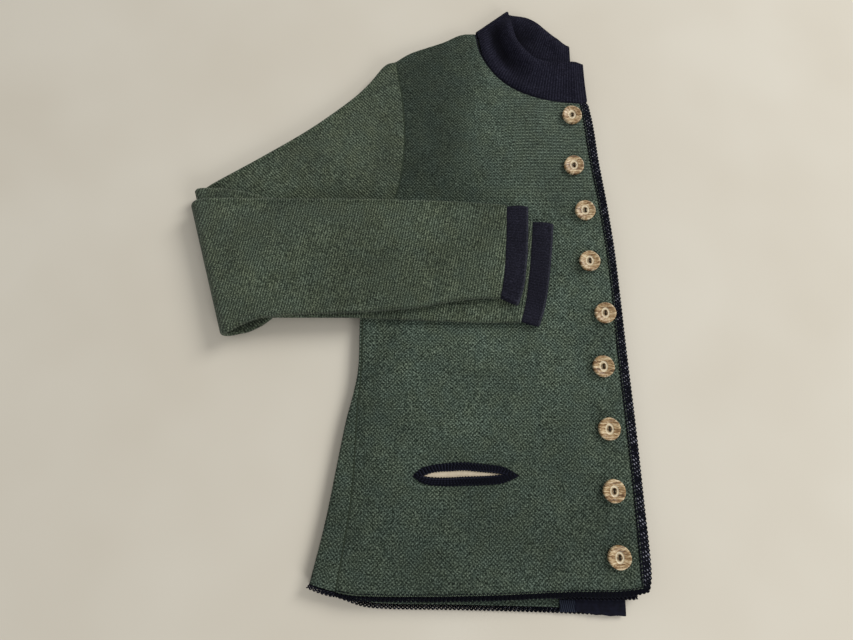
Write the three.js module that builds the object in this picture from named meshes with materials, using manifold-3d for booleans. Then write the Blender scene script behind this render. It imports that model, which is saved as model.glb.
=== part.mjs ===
// A knitted trachten cardigan lying folded on a flat surface, in millimetres, +Z up.
//
// The cardigan is folded in half down its centre back, its hem towards -Y and its right front
// uppermost, outer face up. From the top down the body's plies are the right front, the back,
// folded in two, and the left front. The right sleeve lies on the left one, and both are folded
// together at the elbow, so that the right forearm lies on the right front and the left forearm,
// which wraps round it, lies uppermost.
//
// Every piece is laid out in a pressed stack first: a point is (x, y, s), where s is its height
// with all plies pressed flat. rise() turns s into a real height that grows with s, so plies
// that are apart in the stack stay apart.

import * as THREE from "three";
import { mergeVertices } from "three/addons/utils/BufferGeometryUtils.js";
import Module from "manifold-3d";

const wasm = await Module();
wasm.setup();

// ---------------------------------------------------------------- driving dimensions

const CLOTH = 2.6; // main knit
const PAIR = 5.4; // two plies pressed together
const PLY_GAP = 0.3; // between pieces that lie on each other
const SEAM_GAP = 0.35; // between pieces sewn edge to edge
const RIM = 0.9; // how far a rounded edge is cut back at its top and bottom
const SLEEVE_GAP = 0.35; // between a forearm and what it lies on
const TRIM_INSET = 0.2; // how much thinner an edging is than its cloth, at the top and the bottom
const BUTTON_RADIUS = 10; // a 32-line button
const BUTTON_THICKNESS = 3.6;
const BUTTON_SEAT = 0.45;
const FACING_PLY = 1.2;
const LINING_PLY = 0.8;
const DROOP = 3.2; // how far the free front edge sinks past the folded back
const POCKET_SWELL = 2.6; // how far the front stands off the pocket's lining

const BACK_LOW = CLOTH + PLY_GAP;
const BACK_HIGH = BACK_LOW + PAIR;
const FRONT_LOW = BACK_HIGH + PLY_GAP;
const FRONT_HIGH = FRONT_LOW + CLOTH;
const INNER_FOLD = PAIR / 2 + 0.2; // fold radius of the right sleeve's middle surface
const OUTER_FOLD = INNER_FOLD + PAIR + SLEEVE_GAP; // and of the left sleeve's, which wraps it
const ELBOW_AXIS = PAIR / 2 + OUTER_FOLD; // height of the line that both elbows fold about

const rows = (columns, ...data) =>
  data.map((row) => Object.fromEntries(columns.split(" ").map((name, i) => [name, row[i]])));

// ---------------------------------------------------------------- outlines of the body

const RIGHT_HEM = rows(
  "x y",
  [-56, -265.7], [-44, -267.5], [13, -268.5], [70, -267.5], [135, -265], [180, -264.3], [194.6, -262.3],
);
const RIGHT_HEM_EDGE = rows(
  "x y",
  [-56, -270], [-44, -272], [13, -273], [70, -272], [135, -269.3], [180, -268.8], [200, -265.5],
);
const RIGHT_FRONT_EDGE = rows(
  "x y",
  [194.6, -262.3], [194, -197], [192, -130], [189.5, -68], [188.6, -17], [186.5, 26],
  [182, 76], [177, 118], [174.5, 150], [172, 179.5],
);
const RIGHT_TRIM_EDGE = rows(
  "x y",
  [200, -265.5], [202.6, -254], [201.6, -197], [199.8, -130], [197.2, -68], [195.6, -17],
  [193.5, 31], [189.5, 76], [185, 118], [182.8, 150], [179.5, 181],
);
const SIDE_SEAM = rows(
  "x y",
  [-56, -265.7], [-50, -227], [-45.5, -193], [-43.6, -160], [-42.5, -120], [-40.4, -95],
  [-40, -60], [-40.5, -10], [-43, 45],
);
const SIDE_FOLD = rows(
  "x y",
  [-78.4, -260], [-67.5, -213], [-59, -165], [-52.5, -129], [-46.5, -104], [-43.2, -84],
  [-42.8, -50], [-43, -10], [-44, 36], [-43, 45],
);
const ARMHOLE = rows(
  "x y",
  [-43, 45], [-21.5, 62], [-12, 79], [-6.5, 102], [-3.5, 139], [-6, 183], [-9.8, 206], [-13.2, 226.5],
);
const SHOULDER = rows(
  "x y",
  [-13.2, 226.5], [1, 236], [20, 243.5], [36, 249.5], [52, 257.5], [67.5, 260.5],
);
const RIGHT_NECK = rows(
  "x y",
  [67.5, 260.5], [71.5, 240], [78.5, 224.5], [87, 212], [97.5, 201.5], [111, 192.8],
  [131, 185], [150, 181.2], [172, 179.5],
);
const LEFT_NECK = rows(
  "x y",
  [67.5, 260.5], [71, 240], [78, 223], [88, 208], [102, 196], [122, 186], [140, 180], [155, 178],
);
const BACK_NECK = rows(
  "x y",
  [67.5, 260.5], [80, 250], [95, 241], [112, 230], [130, 220.5], [147, 211.6], [162.5, 205.5],
);
const CENTRE_BACK = rows(
  "x y",
  [191.5, -268], [189.5, -200], [186, -112], [182.5, -17], [178, 71], [171, 130], [162.5, 205.5],
);
const BACK_HEM = rows(
  "x y",
  [-78.4, -260], [-56, -266], [-20, -268.5], [40, -268.5], [110, -267], [160, -268.3], [191.5, -268],
);
const BACK_HEM_EDGE = rows(
  "x y",
  [-80, -263.2], [-57, -270.4], [-20, -273], [40, -273.2], [110, -272], [160, -273.2], [191, -273],
);
const WRAP_HEM = rows("x y", [-78.4, -260], [-68, -263.6], [-56.6, -266]);
const WRAP_HEM_EDGE = rows("x y", [-80.5, -263], [-69, -267.2], [-57, -270.2]);
const LEFT_HEM = rows(
  "x y",
  [-78.4, -260], [-60, -267], [-45, -272.5], [-30, -276.5], [46, -278.5], [112, -280], [176, -282],
);
const LEFT_HEM_EDGE = rows(
  "x y",
  [-80, -263.6], [-61, -271], [-46, -276.5], [-31, -280.4], [46, -282.5], [112, -284], [180, -286.5],
);
const LEFT_FRONT_EDGE = rows(
  "x y",
  [176, -282], [175, -197], [172, -110], [169.5, -17], [166, 71], [159, 130], [155, 178],
);
const LEFT_TRIM_EDGE = rows(
  "x y",
  [180, -286.5], [182, -277], [181, -197], [178.5, -110], [176, -17], [172.5, 71], [165.5, 130],
  [161.5, 178],
);

// ---------------------------------------------------------------- collar, pocket, buttons

const RIGHT_COLLAR_TOP = rows(
  "x y",
  [102.6, 286.6], [104.6, 273], [106.4, 260], [109.4, 247.5], [115, 239], [122, 231.2], [129.5, 226.6],
  [138, 224.6], [152, 224.6], [169, 225],
);
const RIGHT_COLLAR_END = { ax: 178.4, ay: 183.2, bx: 175.6, by: 223.8 }; // it flares past the front edge
const LEFT_COLLAR_TOP = rows(
  "x y",
  [102.6, 285], [104.5, 262], [110, 244], [118, 231], [131, 221], [144, 217], [158, 216],
);
const BACK_COLLAR_TOP = rows(
  "x y",
  [103.6, 286], [113, 281], [123, 278.4], [132, 273], [140, 265], [149, 256.4], [156, 251.4], [163, 247.9],
);
const COLLAR_SHOULDER = { ax: 69.8, ay: 260, bx: 103, by: 285.6 }; // the collar's own fold line
const COLLAR_LIFT = 3.2; // of the front collar's free edge
const COLLAR_FOLD = (CLOTH + PLY_GAP) / 2;
const COLLAR_RETURN = [4.6, -3.4]; // how far the front's ply runs back under itself past the fold
const COLLAR_GROOVE = 1.2;

// Heights above and below the pocket's middle line, of the slit, the edging round it and the
// opening in the cloth that the edging fills.
const POCKET = { x: 50, y: -173.5 };
const SLIT = rows(
  "x above below",
  [12.8, -1.8, 1.8], [24, 2, 3.1], [38, 3, 3.1], [50, 3.5, 2.4], [62, 2.5, 2.1],
  [75, 1.4, 1.4], [88, 0.3, -0.3],
);
const POCKET_EDGING = rows(
  "x above below",
  [5.5, -1, 1], [14, 6.4, 8.6], [32, 9.8, 10.6], [50, 10.6, 10], [64, 9.2, 9.6],
  [84, 7, 8.2], [97, -1.6, 1.6],
);
const POCKET_CUT = rows(
  "x above below",
  [5, -1, 1], [13.7, 6.9, 9.1], [32, 10.2, 11], [50, 11, 10.4], [64, 9.6, 10],
  [84.4, 7.5, 8.7], [97.6, -1.7, 1.7],
);
const SWELL_REACH = { x: 64, y: 38, outer: 1.3, ramp: 0.7 };
const LINING = { halfLength: 42, halfHeight: 10 };
const FACING = { left: 127, right: 181, top: -274.4, bottom: -286.2 };

const BUTTONS = rows(
  "x y",
  [159.2, 160], [155.1, 110.4], [171.2, 64], [171.9, 13.1], [174.7, -34.5], [169.6, -82.6],
  [170.8, -136], [171.2, -186.8], [171.9, -237.3],
);

// ---------------------------------------------------------------- sleeves

// a is a section's end at the sleeve's upper edge, b its other end, and bow is how much of the
// armhole's curve the section keeps.
const RIGHT_UPPER_ARM = rows(
  "ax ay bx by bow",
  [-13.62, 226.7, -43.42, 45.2, 1],
  [-24, 222.5, -52, 42, 0.93],
  [-40, 201, -66, 32, 0.72],
  [-59, 181.5, -84, 17, 0.48],
  [-97, 151, -112, -5, 0.22],
  [-140, 122.5, -138, -22, 0.06],
  [-178, 99, -155, -33, 0],
  [-197.6, 86.5, -160, -36, 0],
);
const RIGHT_FOREARM = rows(
  "ax ay bx by bow",
  [-197.6, 86.5, -160, -36, 0],
  [-184, 86.6, -150, -37.5, 0],
  [-159, 84, -128, -38.5, 0],
  [-120, 74.5, -98, -38.6, 0],
  [-53, 69, -46, -38.8, 0],
  [5, 65, 0, -40.6, 0],
  [62, 59, 57, -43, 0],
  [98, 54.5, 88, -43.4, 0.06],
  [116.4, 52.4, 102, -42.8, 0.09],
);
const LEFT_UPPER_ARM = rows(
  "ax ay bx by bow",
  [-13.62, 226.7, -43.42, 45.2, 1],
  [-24, 221.5, -52, 41, 0.93],
  [-40, 200, -66, 28, 0.72],
  [-59, 180.5, -84, 9, 0.48],
  [-97, 150, -108, -19, 0.22],
  [-140, 120, -128, -40, 0.06],
  [-176, 92, -144, -49.5, 0],
  [-193.5, 73, -155, -52, 0],
);
const LEFT_FOREARM = rows(
  "ax ay bx by bow",
  [-193.5, 73, -155, -52, 0],
  [-181, 73.4, -147, -47.2, 0],
  [-155, 73, -127, -39.8, 0],
  [-100, 72, -94, -37, 0],
  [-53, 72, -41, -35, 0],
  [5, 70.5, 6, -31.4, 0],
  [48, 68.5, 40, -25.6, 0],
  [76, 66.5, 68, -22.6, 0.05],
  [91.6, 65.2, 83, -22.6, 0.08],
);
const RIGHT_CUFF = rows(
  "ax ay bx by bow",
  [116.9, 52.4, 102.5, -42.9, 0.09],
  [136.8, 52, 118.6, -48.6, 0.12],
);
const LEFT_CUFF = rows(
  "ax ay bx by bow",
  [92.1, 65.2, 83.5, -22.7, 0.08],
  [112.4, 66.6, 99.4, -30.6, 0.15],
);

// ---------------------------------------------------------------- swells and creases

// Wide swells that every ply follows: middle, half size along and across, the way it runs from
// +X in degrees, and height.
const SWELLS = rows(
  "x y along across turn height",
  [70, -30, 240, 105, 92, 1.1],
  [-95, 55, 110, 80, 30, 0.5],
);

// Creases of the right front alone, where it stands off the back: ridges, and troughs below
// the looseness of the rest.
const LOOSENESS = 1.3;
const CREASES = rows(
  "x y along across turn height",
  [83, 130, 62, 15, 96, -1.6], // from the collar down the chest
  [52, 212, 40, 15, 20, -1.2], // below the shoulder
  [18, 150, 46, 20, 118, -0.9], // from the armhole to the chest
  [122, 130, 60, 26, 98, 0.9], // beside the front edge
  [50, 120, 40, 22, 84, 0.5],
  [105, -118, 78, 17, 84, -1.2], // beside the buttons
  [12, -225, 48, 15, 84, -1.1], // from the pocket to the hem
  [148, -150, 66, 16, 88, 0.7],
  [52, -95, 55, 30, 100, 0.8], // below the waist
  [-12, -120, 48, 16, 78, -0.8], // beside the side seam
  [80, -225, 50, 26, 80, 0.5],
);
const FOREARM_BAND = { low: -54, high: 78, end: 142, ramp: 28 }; // where the sleeves press the front
const SEWN_RAMP = 22; // the front is held down this far from its seams
const DROOP_START = 1; // past the folded back
const DROOP_RAMP = 16;

// ---------------------------------------------------------------- curves and heights

const clamp01 = (t) => Math.min(1, Math.max(0, t));
const smooth = (t) => clamp01(t) ** 2 * (3 - 2 * clamp01(t));
const mix = (a, b, t) => a + (b - a) * t;
const mixPoint = (p, q, t) => ({ x: mix(p.x, q.x, t), y: mix(p.y, q.y, t) });

// count + 1 points at even spaces along a smooth curve through a table's points
function along(table, count) {
  const points = table.map((p) => new THREE.Vector3(p.x, p.y, 0));
  const curve = new THREE.CatmullRomCurve3(points, false, "centripetal");
  return curve.getSpacedPoints(count).map(({ x, y }) => ({ x, y }));
}

// a path moved sideways, to the left of the way it runs
function shifted(path, distance) {
  return path.map((p, i) => {
    const before = path[Math.max(i - 1, 0)];
    const after = path[Math.min(i + 1, path.length - 1)];
    const length = Math.hypot(after.x - before.x, after.y - before.y);
    return {
      x: p.x - (distance * (after.y - before.y)) / length,
      y: p.y + (distance * (after.x - before.x)) / length,
    };
  });
}

// what a table that runs along one axis gives at one place on it
function tableAt(table, axis, place, value) {
  const found = table.findIndex((row, i) => i > 0 && row[axis] >= place);
  const k = found < 0 ? table.length - 1 : found;
  const [p, q] = [table[k - 1], table[k]];
  return mix(p[value], q[value], clamp01((place - p[axis]) / (q[axis] - p[axis])));
}

function bump(row, x, y) {
  const turn = THREE.MathUtils.degToRad(row.turn);
  const [dx, dy] = [x - row.x, y - row.y];
  const u = (dx * Math.cos(turn) + dy * Math.sin(turn)) / row.along;
  const v = (dy * Math.cos(turn) - dx * Math.sin(turn)) / row.across;
  return row.height * Math.exp(-1.5 * (u * u + v * v));
}

const bumps = (table, x, y) => table.reduce((sum, row) => sum + bump(row, x, y), 0);
const rise = (x, y, s) => s * (1 + bumps(SWELLS, x, y) / FRONT_HIGH);

const BODY_SIDE = [...SIDE_SEAM, ...ARMHOLE.slice(1)];
const BODY_TOP = [...SHOULDER, ...RIGHT_NECK.slice(1)];

// how far the right front stands off the back
function relief(x, y) {
  const { low, high, end, ramp } = FOREARM_BAND;
  const pressed = smooth(Math.max(low - y, y - high, x - end) / ramp);
  const side = smooth((x - tableAt(BODY_SIDE, "y", y, "x")) / SEWN_RAMP);
  const top = smooth((tableAt(BODY_TOP, "x", x, "y") - y) / SEWN_RAMP);
  return pressed * side * top * Math.max(0, LOOSENESS + bumps(CREASES, x, y));
}

function pocketSwell(x, y) {
  const reach = Math.hypot((x - POCKET.x) / SWELL_REACH.x, (y - POCKET.y) / SWELL_REACH.y);
  return POCKET_SWELL * smooth((SWELL_REACH.outer - reach) / SWELL_REACH.ramp);
}

const pastBack = (x, y) => x - tableAt(CENTRE_BACK, "y", y, "x") - DROOP_START;
const droop = (x, y) => DROOP * smooth(pastBack(x, y) / DROOP_RAMP);
const frontHeight = (x, y, s) => rise(x, y, s) + relief(x, y) + pocketSwell(x, y) - droop(x, y);
const collarHeight = (x, y, s) => rise(x, y, s) - droop(x, y);

// ---------------------------------------------------------------- solids

function solidOf(points, triangles) {
  const make = (faces) =>
    new wasm.Manifold(
      new wasm.Mesh({
        numProp: 3,
        vertProperties: new Float32Array(points.flat()),
        triVerts: new Uint32Array(faces.flat()),
      }),
    );
  const solid = make(triangles);
  return solid.volume() < 0 ? make(triangles.map(([a, b, c]) => [a, c, b])) : solid;
}

function solidFromGeometry(geometry) {
  const bare = geometry.index ? geometry.toNonIndexed() : geometry;
  bare.deleteAttribute("normal");
  bare.deleteAttribute("uv");
  const merged = mergeVertices(bare, 1e-4);
  return new wasm.Manifold(
    new wasm.Mesh({
      numProp: 3,
      vertProperties: merged.attributes.position.array,
      triVerts: new Uint32Array(merged.index.array),
    }),
  );
}

function geometryOf(solid) {
  const mesh = solid.getMesh();
  return new THREE.BufferGeometry()
    .setAttribute("position", new THREE.BufferAttribute(new Float32Array(mesh.vertProperties), 3))
    .setIndex(new THREE.BufferAttribute(new Uint32Array(mesh.triVerts), 1));
}

// A Coons patch: rows of points between four outlines that share their corners.
function patch(bottom, top, left, right) {
  const [nu, nv] = [bottom.length - 1, left.length - 1];
  return left.map((_, j) =>
    bottom.map((__, i) => {
      const [u, v] = [i / nu, j / nv];
      const at = (axis) =>
        mix(bottom[i][axis], top[i][axis], v) +
        mix(left[j][axis], right[j][axis], u) -
        mix(mix(bottom[0][axis], bottom[nu][axis], u), mix(top[0][axis], top[nu][axis], u), v);
      return { x: at("x"), y: at("y") };
    }),
  );
}

// A closed wall over a grid of points. The layers run from the bottom to the top of its rim:
// s is a layer's height in the stack, inset how far it stays inside the outline, and rightInset
// the same on the right side where it differs.
function wall(grid, layers, height) {
  const [nu, nv] = [grid[0].length - 1, grid.length - 1];
  const points = [];
  const triangles = [];
  const face = (a, b, c, d) => triangles.push([a, b, c], [a, c, d]);
  const inward = (n, last) => Math.min(Math.max(n, 1), last - 1);
  const place = (i, j, layer) => {
    const p = grid[j][i];
    const q = grid[inward(j, nv)][inward(i, nu)];
    const far = Math.hypot(q.x - p.x, q.y - p.y);
    const inset = i === nu ? (layer.rightInset ?? layer.inset) : layer.inset;
    const { x, y } = far > 0 ? mixPoint(p, q, inset / far) : p;
    return points.push([x, y, height(x, y, layer.s)]) - 1;
  };
  const sheet = (layer) => grid.map((line, j) => line.map((_, i) => place(i, j, layer)));
  const [low, high] = [sheet(layers[0]), sheet(layers.at(-1))];
  for (let j = 0; j < nv; j += 1) {
    for (let i = 0; i < nu; i += 1) {
      face(high[j][i], high[j][i + 1], high[j + 1][i + 1], high[j + 1][i]);
      face(low[j][i], low[j + 1][i], low[j + 1][i + 1], low[j][i + 1]);
    }
  }
  const round = [
    ...Array.from({ length: nu }, (_, i) => [i, 0]),
    ...Array.from({ length: nv }, (_, j) => [nu, j]),
    ...Array.from({ length: nu }, (_, i) => [nu - i, nv]),
    ...Array.from({ length: nv }, (_, j) => [0, nv - j]),
  ];
  const rings = layers.map((layer, k) =>
    round.map(([i, j]) => {
      if (k === 0) return low[j][i];
      return k === layers.length - 1 ? high[j][i] : place(i, j, layer);
    }),
  );
  for (let k = 0; k + 1 < rings.length; k += 1) {
    round.forEach((_, n) => {
      const next = (n + 1) % round.length;
      face(rings[k][n], rings[k][next], rings[k + 1][next], rings[k + 1][n]);
    });
  }
  return solidOf(points, triangles);
}

const plainRim = (low, high, inset = RIM) => [
  { inset, s: low },
  { inset: 0, s: (low + high) / 2 },
  { inset, s: high },
];

// Rings of points joined into one closed body, end to end where the rings go round.
function loftRings(rings, goesRound = false) {
  const count = rings[0].length;
  const triangles = [];
  for (let k = 0; k < rings.length - (goesRound ? 0 : 1); k += 1) {
    const [base, next] = [k * count, ((k + 1) % rings.length) * count];
    for (let n = 0; n < count; n += 1) {
      const m = (n + 1) % count;
      triangles.push([base + n, base + m, next + m], [base + n, next + m, next + n]);
    }
  }
  // an open end is closed by strips between the points that face each other across it
  const close = (base, flip) => {
    for (let n = 0; n < count / 2; n += 1) {
      const [a, b] = [base + n, base + n + 1];
      const [c, d] = [base + ((count - n) % count), base + count - n - 1];
      const strip = [];
      if (d !== b) strip.push([a, b, d]);
      if (a !== c) strip.push([a, d, c]);
      triangles.push(...strip.map(([p, q, r]) => (flip ? [p, r, q] : [p, q, r])));
    }
  };
  if (!goesRound) {
    close(0, true);
    close((rings.length - 1) * count, false);
  }
  return solidOf(rings.flat(), triangles);
}

// A strip between two paths with the same number of points, in one ply with a rounded rim.
function strip(inner, outer, low, high, height) {
  const grid = [0, 0.5, 1].map((t) => inner.map((p, i) => mixPoint(p, outer[i], t)));
  return wall(grid, plainRim(low, high, RIM / 2), height);
}

// ---------------------------------------------------------------- body panels

// the groove between the back's two plies, and how its round fold is cut back at its faces and
// half way to its middle
const BACK_RIM = { groove: 1.6, outer: 2.4, inner: 0.5 };
// the round section of the back where it wraps the side: how far its curl may reach, as a length
// and as a share of its width
const WRAP = { steps: 18, startsAbove: 0.4, end: 34, curl: 3.4, curlShare: 0.7, rim: 0.7 };
const CUT_REACH = { below: 3, above: 9 }; // the pocket's opening is cut this far past the cloth
const ARMHOLE_STEPS = 8;
const SIDE_STEPS = 17;
const SHOULDER_STEPS = 6;
const NECK_STEPS = 12;
const HIDDEN_SIDE_STEPS = 9;
const HIDDEN_SHOULDER_STEPS = 4;

const ARMHOLE_POINTS = along(ARMHOLE, ARMHOLE_STEPS);
const RIGHT_NECK_POINTS = along(RIGHT_NECK, NECK_STEPS);
const LEFT_NECK_POINTS = along(LEFT_NECK, NECK_STEPS / 2);
const BACK_NECK_POINTS = along(BACK_NECK, NECK_STEPS / 2);

function panel(hem, side, sideSteps, neckPoints, edge, shoulderSteps) {
  const left = [...along(side, sideSteps), ...ARMHOLE_POINTS.slice(1)];
  const top = [...along(SHOULDER, shoulderSteps), ...neckPoints.slice(1)];
  return patch(along(hem, top.length - 1), top, left, along(edge, left.length - 1));
}

function rightFront() {
  const grid = panel(
    RIGHT_HEM, SIDE_SEAM, SIDE_STEPS, RIGHT_NECK_POINTS, RIGHT_FRONT_EDGE, SHOULDER_STEPS,
  );
  const cut = upright(lens(POCKET_CUT, 10), FRONT_LOW - CUT_REACH.below, FRONT_HIGH + CUT_REACH.above);
  return wall(grid, plainRim(FRONT_LOW, FRONT_HIGH), frontHeight).subtract(cut);
}

// Two plies in one body, parted by a groove along their cut edges and rounded at the centre back.
function foldedBack() {
  const grid = panel(
    BACK_HEM, SIDE_FOLD, HIDDEN_SIDE_STEPS, BACK_NECK_POINTS, CENTRE_BACK, HIDDEN_SHOULDER_STEPS,
  );
  const { groove, outer, inner } = BACK_RIM;
  const layers = [
    { inset: RIM, rightInset: outer, s: BACK_LOW },
    { inset: 0, rightInset: inner, s: mix(BACK_LOW, BACK_HIGH, 0.25) },
    { inset: groove, rightInset: 0, s: mix(BACK_LOW, BACK_HIGH, 0.5) },
    { inset: 0, rightInset: inner, s: mix(BACK_LOW, BACK_HIGH, 0.75) },
    { inset: RIM, rightInset: outer, s: BACK_HIGH },
  ];
  return wall(grid, layers, rise).add(sideWrap());
}

// Where the back comes up over the side fold to meet the right front's side seam.
function sideWrap() {
  const { steps } = WRAP;
  const low = SIDE_SEAM[0].y + WRAP.startsAbove;
  const lean = BACK_HEM[0].y - BACK_HEM[1].y;
  const rings = Array.from({ length: steps + 1 }, (_, k) => {
    const y = mix(low, WRAP.end, k / steps);
    const seam = tableAt(SIDE_SEAM, "y", y, "x") - SEAM_GAP;
    const width = seam - tableAt(SIDE_FOLD, "y", y, "x");
    const curl = Math.min(WRAP.curl, width * WRAP.curlShare);
    const section = rows(
      "in s",
      [0, BACK_HIGH - 1.2],
      [0, FRONT_HIGH - 0.6],
      [Math.min(WRAP.rim, width / 5), FRONT_HIGH],
      [width - curl, FRONT_HIGH],
      [width - curl * 0.28, FRONT_HIGH - 1.2],
      [width, FRONT_HIGH - 3],
      [width - 0.2, BACK_HIGH - 1.4],
      [width - curl * 0.4, BACK_HIGH - 1.8],
    );
    return section.map(({ in: inside, s }) => {
      const x = seam - inside;
      return [x, y + lean * (inside / width) * (1 - k / steps) ** 2, rise(x, y, s)];
    });
  });
  return loftRings(rings);
}

function leftFront() {
  const grid = panel(
    LEFT_HEM, SIDE_FOLD, HIDDEN_SIDE_STEPS, LEFT_NECK_POINTS, LEFT_FRONT_EDGE, HIDDEN_SHOULDER_STEPS,
  );
  return wall(grid, plainRim(0, CLOTH), rise);
}

// ---------------------------------------------------------------- edgings, pocket, facing

// The edging of a front, from its neck down the free edge and along the hem to the side.
function frontEdging(edge, edgeOuter, hem, hemOuter, steps, low, high, height) {
  const path = (freeEdge, level) => [
    ...along(freeEdge.toReversed(), steps.edge),
    ...along(level.toReversed(), steps.hem).slice(1),
  ];
  const inner = shifted(path(edge, hem), SEAM_GAP);
  return strip(inner, path(edgeOuter, hemOuter), low, high, height);
}

const rightEdging = () =>
  frontEdging(
    RIGHT_FRONT_EDGE, RIGHT_TRIM_EDGE, RIGHT_HEM, RIGHT_HEM_EDGE,
    { edge: SIDE_STEPS + ARMHOLE_STEPS, hem: SHOULDER_STEPS + NECK_STEPS },
    FRONT_LOW + TRIM_INSET, FRONT_HIGH - TRIM_INSET, frontHeight,
  );

const leftEdging = () =>
  frontEdging(
    LEFT_FRONT_EDGE, LEFT_TRIM_EDGE, LEFT_HEM, LEFT_HEM_EDGE,
    { edge: HIDDEN_SIDE_STEPS + ARMHOLE_STEPS, hem: HIDDEN_SHOULDER_STEPS + NECK_STEPS / 2 },
    0, CLOTH - TRIM_INSET, rise,
  );

function backEdging() {
  const steps = HIDDEN_SHOULDER_STEPS + NECK_STEPS / 2;
  const inner = shifted(along(BACK_HEM, steps), -SEAM_GAP);
  const low = BACK_LOW + TRIM_INSET;
  const band = strip(inner, along(BACK_HEM_EDGE, steps), low, BACK_HIGH - TRIM_INSET, rise);
  const wrapInner = shifted(along(WRAP_HEM, 3), -SEAM_GAP);
  const joined = BACK_HIGH - 2; // it starts inside the band, so that both are one body
  return band.add(strip(wrapInner, along(WRAP_HEM_EDGE, 3), joined, FRONT_HIGH - TRIM_INSET, rise));
}

// Points round a lens whose table gives its heights above and below the pocket's middle line.
function lens(table, steps) {
  const side = (pick) => {
    const points = table.map((p) => new THREE.Vector2(p.x, POCKET.y + pick(p)));
    return new THREE.SplineCurve(points).getPoints(steps);
  };
  const over = side((p) => p.above).toReversed();
  const under = side((p) => -p.below);
  return [...over, ...under.slice(1, -1)].map(({ x, y }) => ({ x, y }));
}

function upright(outline, low, high) {
  const shape = new THREE.Shape(outline.map((p) => new THREE.Vector2(p.x, p.y)));
  const geometry = new THREE.ExtrudeGeometry(shape, { depth: high - low, bevelEnabled: false });
  return solidFromGeometry(geometry.translate(0, 0, low));
}

// The edging's section, from the slit at 0 to its outer line at 1, stands a little over the cloth.
function pocketEdging() {
  const steps = 11;
  const outer = lens(POCKET_EDGING, steps);
  const low = FRONT_LOW + 0.5;
  const section = rows(
    "out s",
    [0, low], [0, FRONT_HIGH + 0.3], [0.3, FRONT_HIGH + 0.9],
    [0.94, FRONT_HIGH + 0.5], [1, FRONT_HIGH - 0.6], [0.9, low],
  );
  const rings = lens(SLIT, steps).map((p, i) =>
    section.map(({ out, s }) => {
      const { x, y } = mixPoint(p, outer[i], out);
      return [x, y, frontHeight(x, y, s)];
    }),
  );
  return loftRings(rings, true);
}

// A level rectangle of cloth laid on the stack.
function swatch(left, right, low, high, s, ply) {
  const line = (y) => Array.from({ length: 7 }, (_, i) => ({ x: mix(left, right, i / 6), y }));
  return strip(line(low), line(high), s, s + ply, rise);
}

const pocketLining = () =>
  swatch(
    POCKET.x - LINING.halfLength, POCKET.x + LINING.halfLength,
    POCKET.y - LINING.halfHeight, POCKET.y + LINING.halfHeight, BACK_HIGH + PLY_GAP, LINING_PLY,
  );

const facing = () =>
  swatch(FACING.left, FACING.right, FACING.bottom, FACING.top, CLOTH + PLY_GAP, FACING_PLY);

// ---------------------------------------------------------------- sleeves and cuffs

const ELBOW_STEPS = 6;
const STATIONS_BETWEEN = 2; // stations from one row of a sleeve's table to the next

// The armhole's shape as how far it lies off the straight line between its ends, at share t of
// the way down from the shoulder.
function armholeBend(t) {
  const place = (1 - clamp01(t)) * ARMHOLE_STEPS;
  const k = Math.min(Math.floor(place), ARMHOLE_STEPS - 1);
  const p = mixPoint(ARMHOLE_POINTS[k], ARMHOLE_POINTS[k + 1], place - k);
  const q = mixPoint(ARMHOLE_POINTS[ARMHOLE_STEPS], ARMHOLE_POINTS[0], t);
  return { x: p.x - q.x, y: p.y - q.y };
}

// Places round a flat section with round edges: t is the share of the way across it, off the
// share of its half thickness. The first place is edge a and the middle one edge b.
function sectionPlaces(length, half, flats) {
  const start = [0.5, 1].map((share) => {
    const turn = (share * Math.PI) / 2;
    return { t: (half * (1 - Math.cos(turn))) / length, off: Math.sin(turn) };
  });
  const middle = Array.from({ length: flats - 1 }, (_, i) => ({ t: (i + 1) / flats, off: 1 }));
  const end = start.map(({ t, off }) => ({ t: 1 - t, off })).toReversed();
  const upper = [...start, ...middle, ...end];
  const lower = upper.map(({ t, off }) => ({ t, off: -off })).toReversed();
  return [{ t: 0, off: 0 }, ...upper, { t: 1, off: 0 }, ...lower];
}

// One ring round a folded strip of cloth. A station has ends a and b, the height s of its middle
// surface and its half thickness. tilt is how far its outer face has turned, from 0, facing down,
// through out, the level way off the fold, to half a turn, facing up. lift raises end b.
function ringOf(station, flats, height) {
  const { ax, ay, bx, by, s, half, bow = 0, lift = 0, tilt = Math.PI, out = { x: 0, y: 0 } } = station;
  const length = Math.hypot(bx - ax, by - ay);
  return sectionPlaces(length, half, flats).map(({ t, off }) => {
    const bend = armholeBend(t);
    const across = off * half * Math.sin(tilt);
    const x = mix(ax, bx, t) + bow * bend.x + out.x * across;
    const y = mix(ay, by, t) + bow * bend.y + out.y * across;
    return [x, y, height(x, y, s - off * half * Math.cos(tilt) + lift * t * t)];
  });
}

// Stations of a fold about a level line at height axis, its outer face turning between tilts.
// side is 1 where the fold lies to the right of the line from a to b, and -1 to its left.
function foldStations(line, side, radius, axis, half, steps, from, to) {
  const length = Math.hypot(line.bx - line.ax, line.by - line.ay);
  const out = {
    x: (side * (line.by - line.ay)) / length,
    y: (side * (line.ax - line.bx)) / length,
  };
  return Array.from({ length: steps + 1 }, (_, k) => {
    const tilt = mix(from, to, k / steps);
    const shift = radius * Math.sin(tilt);
    const [dx, dy] = [out.x * shift, out.y * shift];
    return {
      ax: line.ax + dx,
      ay: line.ay + dy,
      bx: line.bx + dx,
      by: line.by + dy,
      s: axis - radius * Math.cos(tilt),
      half,
      out,
      tilt,
    };
  });
}

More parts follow.
